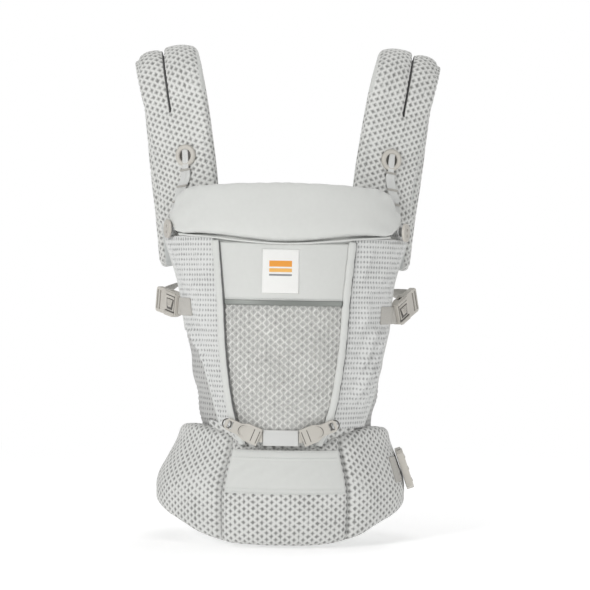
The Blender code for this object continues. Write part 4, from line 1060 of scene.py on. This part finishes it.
def build_adjuster(side, sign):
    """Moulded eyelet ring on the pad, and the barred webbing that hangs from it to the support's button."""
    body = f"shoulder_strap_{side}"
    low, high = (np.array(c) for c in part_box(f"adjuster_ring_{side}"))
    middle = (low + high) / 2
    width, up, out = pad_directions(sign, middle[2])
    # Radius and height around the ring's section.
    profile = ((0.0090, -0.0010), (0.0093, 0.0022), (0.0104, 0.0036), (0.0124, 0.0040), (0.0146, 0.0034),
               (0.0157, 0.0018), (0.0157, -0.0010), (0.0146, -0.0022), (0.0124, -0.0026), (0.0100, -0.0022))
    turns = np.arange(48) / 48 * math.tau
    rings = np.array([[middle + (width * math.cos(a) + up * math.sin(a)) * r + out * h for r, h in profile]
                      for a in turns])
    uv = stack((turns * 0.012)[:, None], (np.arange(len(profile)) * 0.001)[None, :])
    attach(sweep(f"eyelet_{side}", rings, uv, [PLASTIC], closed=True), body,
           (f"adjuster_ring_{side}",))
    ladder_low, ladder_high = (np.array(c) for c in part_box(f"adjuster_ladder_{side}"))
    outer_x = ladder_high[0] if sign > 0 else ladder_low[0]
    foot = np.array([outer_x - sign * 0.0072, ladder_high[1] - 0.0045, ladder_low[2] + 0.001])
    points = [middle + up * 0.004 + out * 0.0006, middle - up * 0.014 + out * 0.0032 + width * 0.0006,
              middle - up * 0.026 + out * 0.0016 + width * 0.0024]
    points += [points[-1] + (foot - points[-1]) * t + out * 0.0018 * math.sin(math.pi * t)
               for t in (0.35, 0.7, 1.0)]
    path = round_path(points, 0.0015)
    wide = 0.0048 + 0.0024 * smooth(0.22, 0.27, np.linspace(0, 1, len(path)))
    attach(ribbon(f"adjuster_webbing_{side}", path, width, wide, WEB_PALE), body,
           (f"adjuster_ladder_{side}",))

    def rod(name, middle, half, across, thick_a, thick_b, finish, places, around):
        line = middle + half * np.linspace(-1, 1, places)[:, None]
        attach(tube(name, line, across, thick_a, thick_b, finish, around=around), body)

    for i, place in enumerate((0.25, 0.50, 0.74)):
        at = path[int(place * (len(path) - 1))] + out * 0.0014
        rod(f"adjuster_bar_{side}_{i}", at, width * 0.0082, out, 0.0010, 0.0016, WEB_TAN, 12, 10)
    rod(f"eyelet_insert_{side}", middle - up * 0.00025 + out * 0.0008, -up * 0.00925, width, 0.0048, 0.0012,
        WEB_PALE, 12, 14)
    # A near-black plate behind the ring paints the shade inside its hole.
    rod(f"eyelet_hole_shade_{side}", middle - out * 0.0008, up * 0.0094, width, 0.0092, 0.0006, PAINTED_SHADE_PLASTIC,
        16, 20)


def build_strap_root(side, sign):
    """Fabric that joins a pad's front root to the top corner of the panel."""
    rows, columns = 26, 40
    u = np.linspace(0, 1, columns)[:, None]
    v = np.linspace(0, 1, rows)[None, :]
    center, width, _, _ = pad_frame(sign, np.array([0.004, 0.008, 0.012]))
    reach = (2 * u - 1) * (PAD_HALF_WIDTH - 0.004)
    top = center[1] + width[1] * reach[..., None]
    x = sign * (0.112 + 0.056 * u)
    foot = on_panel(x, 0.418 + 0 * u, -0.0035)
    points = foot + (top - foot) * v[..., None]
    normal = unit(np.cross(np.gradient(points, axis=0), np.gradient(points, axis=1)))
    if normal[columns // 2, rows // 2, 1] > 0:
        normal = -normal
    uv = stack(reach + 0 * v, 0.055 * v + 0 * u)
    made = slab(f"strap_root_{side}", points + normal * 0.0022, points - normal * 0.0022, uv, MESH_WING)
    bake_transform(made)


# ---------------------------------------------------------------- buckle webbing and hardware

def build_buckle_webbing():
    """Woven straps on the CAD strips between the buckles, the pads and the panel."""
    for side in SIDES:
        for node, finish, body in ((f"shoulder_webbing_{side}", WEB_TAN, f"side_latch_{side}"),
                                   (f"side_buckle_anchor_{side}", WEB_TAN, "carrier_body"),
                                   (f"head_button_tab_{side}", WEB_PALE, "head_support"),
                                   (f"chest_webbing_{side}", WEB_TAN, f"chest_half_{side}")):
            strip_over(node, finish, body)
    strip_over("base_webbing", WEB_PALE, "carrier_body")


def strip_over(node, finish, body):
    """Finishes a flat CAD strip as webbing: its own shape with soft edges and a metric weave."""
    made = link(node + "_cloth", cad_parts[node].data.copy())
    points = points_of(made)
    middle = points.mean(axis=0)
    axes = np.linalg.svd(points - middle, full_matrices=False)[2]
    mesh = made.data
    tidy = bmesh.new()
    tidy.from_mesh(mesh)
    bmesh.ops.remove_doubles(tidy, verts=tidy.verts, dist=0.00005)
    bmesh.ops.dissolve_limit(tidy, angle_limit=0.02, verts=tidy.verts, edges=tidy.edges)
    tidy.to_mesh(mesh)
    tidy.free()
    for layer in list(mesh.uv_layers):
        mesh.uv_layers.remove(layer)
    layer = mesh.uv_layers.new(name="metres")
    for loop in mesh.loops:
        offset = np.array(mesh.vertices[loop.vertex_index].co) - middle
        layer.data[loop.index].uv = (float(offset @ axes[0]), float(offset @ axes[1]))
    mesh.materials.clear()
    mesh.materials.append(finish)
    round_edges = made.modifiers.new("soft_edge", "BEVEL")
    round_edges.width = 0.0005
    round_edges.segments = 2
    round_edges.limit_method = "ANGLE"
    bake_mesh(made)
    made.data.shade_smooth()
    made.data.set_sharp_from_angle(angle=math.radians(60))
    attach(made, body, (node,))


class Face:
    """Outer face of a CAD piece, with its own axes found from the spread of the piece's points."""

    def __init__(self, node, body, facing, along_hint):
        points = points_of(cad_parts[node])
        middle = (points.max(axis=0) + points.min(axis=0)) / 2
        axes = np.linalg.svd(points - points.mean(axis=0), full_matrices=False)[2]
        self.length = axes[0] * np.sign(axes[0] @ np.array(along_hint))
        self.out = axes[2] * np.sign(axes[2] @ np.array(facing))
        self.width = np.cross(self.out, self.length)
        self.axes, self.body = np.array([self.length, self.width, self.out]), body
        placed = (points - middle) @ self.axes.T
        self.middle = middle + self.axes.T @ ((placed.max(axis=0) + placed.min(axis=0)) / 2)
        self.half = (placed.max(axis=0) - placed.min(axis=0)) / 2
        self.place = self.middle + self.out * self.half[2]

    def block(self, name, length, out, halves, finish, rounding, narrow=1.0):
        """Rounded block at a place along the face and above it."""
        block(name, self.body, self.place + self.length * length + self.out * out, self.axes, halves, finish,
              rounding, narrow)

    def ridge(self, name, points, radius, finish):
        """Thin cord through the points."""
        path = round_path(points, 0.0008)
        attach(tube(name, path, self.out, radius, radius, finish, around=8), self.body)


def block(name, body, middle, axes, halves, finish, rounding, narrow=1.0):
    """Rounded block on a body; narrow scales the width at the far end of its length."""
    made = bmesh.new()
    bmesh.ops.create_cube(made, size=2)
    for vert in made.verts:
        l, w, o = vert.co
        w *= narrow if l > 0 else 1
        vert.co = Vector(middle + axes[0] * l * halves[0] + axes[1] * w * halves[1] + axes[2] * o * halves[2])
    bmesh.ops.recalc_face_normals(made, faces=made.faces)
    bmesh.ops.bevel(made, geom=made.edges[:], offset=rounding, segments=3, profile=0.5, affect="EDGES")
    mesh = bpy.data.meshes.new(name)
    made.to_mesh(mesh)
    made.free()
    mesh.materials.append(finish)
    mesh.shade_smooth()
    mesh.set_sharp_from_angle(angle=math.radians(40))
    attach(link(name, mesh), body)


def detail_side_buckle(side, sign):
    """Window, release button, ribs and bars on a side buckle's outer face; the window, where the latch sits,
    and the slots beside the bars are near-black blocks that paint the shade inside them.
    """
    face = Face(f"side_buckle_female_{side}", "carrier_body", (0.3 * sign, -1, 0), (sign, 0, 0))
    long, wide, _ = face.half
    # The window is a near-black block that paints the shade inside the buckle's opening.
    face.block(f"buckle_window_shade_{side}", 0.0005, 0, (long * 0.42, wide * 0.66, 0.0005), PAINTED_SHADE_PLASTIC,
               0.0004, 0.72)
    face.block(f"buckle_release_{side}", -0.0008, 0.0006, (long * 0.30, wide * 0.50, 0.0010), PLASTIC,
               0.0008, 0.55)
    for i in range(3):
        face.block(f"buckle_rib_{side}_{i}", -0.0042 + 0.0030 * i, 0.0016,
                   (0.0006, wide * (0.34 - 0.04 * i), 0.0006), PLASTIC, 0.0003)
    for i, place in enumerate((-0.80, 0.74)):
        face.block(f"buckle_bar_{side}_{i}", long * place, 0.0006, (0.0022, wide * 0.86, 0.0012), PLASTIC,
                   0.0008)
        # Each slot is a near-black block that paints the shade beside its bar.
        face.block(f"buckle_slot_{side}_{i}", long * place + 0.0032 * (1 - 2 * i), 0,
                   (0.0008, wide * 0.80, 0.0004), PAINTED_SHADE_PLASTIC, 0.0003)


def detail_base_tab(side, sign):
    """Raised half-round emboss drawn with a painted shadow line, dark lines across the tab's inner end that
    paint the shade beside its end bars, and a dark ring at its tip that paints the shadow of a buttonhole.
    """
    face = Face(f"base_tab_{side}", f"base_tab_{side}_body", (0, -1, 0), (sign, 0, 0.3))
    length, width, out = face.axes
    long, wide, _ = face.half
    arc = [face.place + length * (-long * 0.10 + 0.0075 * math.cos(a)) + width * 0.0075 * math.sin(a)
           for a in np.linspace(-math.pi / 2, math.pi / 2, 9)]
    # The emboss is a near-black line that paints the shadow of its raised edge, which is the plastic ridge
    # beside it.
    face.ridge(f"tab_emboss_{side}", arc, 0.0006, PAINTED_SHADE_PLASTIC)
    face.ridge(f"tab_emboss_edge_{side}", [p - length * 0.0011 + out * 0.0002 for p in arc], 0.0008, PLASTIC)
    # Near-black lines across the tab's inner end paint the shade beside its end bars.
    for i, place in enumerate((-0.92, -0.62)):
        points = [face.place + length * long * place + width * wide * 0.72 * t for t in (-1, 0, 1)]
        face.ridge(f"tab_line_{side}_{i}", points, 0.0005, PAINTED_SHADE_PLASTIC)
    heel = np.array([sign * 0.0280, face.middle[1], (face.middle - length * long * 0.93)[2]])
    block(f"tab_heel_{side}", face.body, heel + out * 0.0006, (np.array([sign, 0, 0.0]), UP, out),
          (0.0028, 0.0072, 0.0022), PLASTIC, 0.0008)
    # A near-black ring at the tip paints the shadow of the buttonhole that the tab's strap passes into.
    tip = face.middle + length * (long - 0.0030)
    loop = [tip + length * 0.0062 * math.cos(a) + width * 0.0066 * math.sin(a) + out * 0.0006
            for a in np.linspace(0, math.tau, 17)]
    face.ridge(f"tab_buttonhole_shade_{side}", loop, 0.0009, PAINTED_SHADE_PLASTIC)


def detail_waist_buckle():
    """Bars across the waist buckle's outer face, with near-black slots beside them that paint the shade in
    the slots.
    """
    face = Face("waist_buckle_female", "carrier_body", (1, -0.6, 0), (0, -0.3, 1))
    long, wide, _ = face.half
    for i, place in enumerate((-0.62, 0.0, 0.62)):
        face.block(f"waist_buckle_bar_{i}", long * place, 0, (0.0016, wide * 0.84, 0.0010), PLASTIC, 0.0007)
        # Each slot is a near-black block that paints the shade beside its bar.
        face.block(f"waist_buckle_slot_{i}", long * place + 0.0030, 0, (0.0008, wide * 0.80, 0.0003),
                   PAINTED_SHADE_PLASTIC, 0.0002)


def finish_hardware():
    """Gives each moulded CAD piece that stays visible its plastic, and the buckles their moulded details."""
    moulded = ("buckle_female", "buckle_male", "base_tab", "snap_socket", "head_button_left",
               "head_button_right", "chest_slider")
    for name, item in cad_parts.items():
        if any(part in name for part in moulded):
            for place in item.material_slots:
                place.material = PLASTIC
    for side, sign in SIDES.items():
        detail_side_buckle(side, sign)
        detail_base_tab(side, sign)
    detail_waist_buckle()


# ---------------------------------------------------------------- studio

FLOOR_Z, FLOOR_REACH = -0.0030, 6.0
# Distances from the middle between which the floor fades into the white world.
FADE_START, FADE_END = 0.6, 1.6
AMBIENT = 0.47
# Place, size and power of each lamp.
LAMPS = {"key": ((-1.6, -2.0, 1.1), 0.8, 33), "fill": ((1.9, -1.5, 0.8), 1.6, 13),
         "top": ((0.1, 0.3, 2.4), 1.2, 9), "back": ((0.8, 2.0, 1.5), 1.4, 12)}
CAMERA_DISTANCE, CAMERA_VIEW = 3.0, 0.8437
CAMERA_TARGET = (0.0165, 0.05, 0.3525)
CAMERA_ELEVATION, CAMERA_ROLL = math.radians(1), math.radians(1.04)


def build_floor():
    """Pale floor that the camera sees fade into the white world, so that no horizon shows from any side."""
    g = Graph("studio_floor", 0.9)
    vector, x, y, _ = g.place("Object")
    g.color((0.93, 0.93, 0.93), 0.99 + g.noise(vector, 2.0) * 0.02)
    g.shader.inputs["Emission Color"].default_value = (1, 1, 1, 1)
    g.shader.inputs["Emission Strength"].default_value = 0.26
    fade = g.ramp((x * x + y * y).math("SQRT"), FADE_START, FADE_END)
    nodes, links = g.tree.nodes, g.tree.links
    to_camera = g.node("LightPath", "Is Camera Ray")
    mix = nodes.new("ShaderNodeMixShader")
    g.put(mix.inputs[0], fade * to_camera)
    links.new(g.shader.outputs[0], mix.inputs[1])
    links.new(nodes.new("ShaderNodeEmission").outputs[0], mix.inputs[2])
    output = next(node for node in nodes if node.type == "OUTPUT_MATERIAL")
    links.new(mix.outputs[0], output.inputs["Surface"])
    mesh = bpy.data.meshes.new("floor")
    corners = ((-1, -1), (1, -1), (1, 1), (-1, 1))
    mesh.from_pydata([(x * FLOOR_REACH, y * FLOOR_REACH, FLOOR_Z) for x, y in corners], [], [[0, 1, 2, 3]])
    mesh.materials.append(g.material)
    link("floor", mesh)


def build_studio():
    """Floor, white world and four soft lamps that the camera doesn't see."""
    bpy.context.scene.view_settings.view_transform = "Standard"
    build_floor()
    world = bpy.data.worlds.new("studio")
    bpy.context.scene.world = world
    world.use_nodes = True
    nodes, links = world.node_tree.nodes, world.node_tree.links
    nodes["Background"].inputs[0].default_value = (1, 1, 1, 1)
    strength = nodes.new("ShaderNodeMapRange")
    strength.inputs["To Min"].default_value, strength.inputs["To Max"].default_value = AMBIENT, 1.0
    links.new(nodes.new("ShaderNodeLightPath").outputs["Is Camera Ray"], strength.inputs["Value"])
    links.new(strength.outputs[0], nodes["Background"].inputs[1])
    low, high = cad_box
    middle = (Vector(low) + Vector(high)) / 2
    for name, (place, size, power) in LAMPS.items():
        lamp = bpy.data.lights.new(name, "AREA")
        lamp.size, lamp.energy = size, power
        item = link(name, lamp)
        item.location = place
        item.rotation_euler = (middle - Vector(place)).to_track_quat("-Z", "Y").to_euler()
        item.visible_camera = False


def build_camera():
    """Camera square to the front, a little above the middle, rolled so that the carrier leans by a degree."""
    target = Vector(CAMERA_TARGET)
    away = Vector((0, -math.cos(CAMERA_ELEVATION), math.sin(CAMERA_ELEVATION))) * CAMERA_DISTANCE
    lens = bpy.data.cameras.new("camera")
    lens.sensor_width = 36
    lens.lens = lens.sensor_width * CAMERA_DISTANCE / CAMERA_VIEW
    camera = link("camera", lens)
    facing = (-away).to_track_quat("-Z", "Y").to_matrix().to_4x4()
    camera.matrix_world = Matrix.Translation(target + away) @ facing @ Matrix.Rotation(CAMERA_ROLL, 4, "Z")
    bpy.context.scene.camera = camera


build_belt()
build_waist_webbing()
build_center()
build_hems()
build_piping()
build_wings()
build_head_support()
for side, sign in SIDES.items():
    build_pad(side, sign)
    build_adjuster(side, sign)
    build_strap_root(side, sign)
build_buckle_webbing()
finish_hardware()
build_studio()
build_camera()
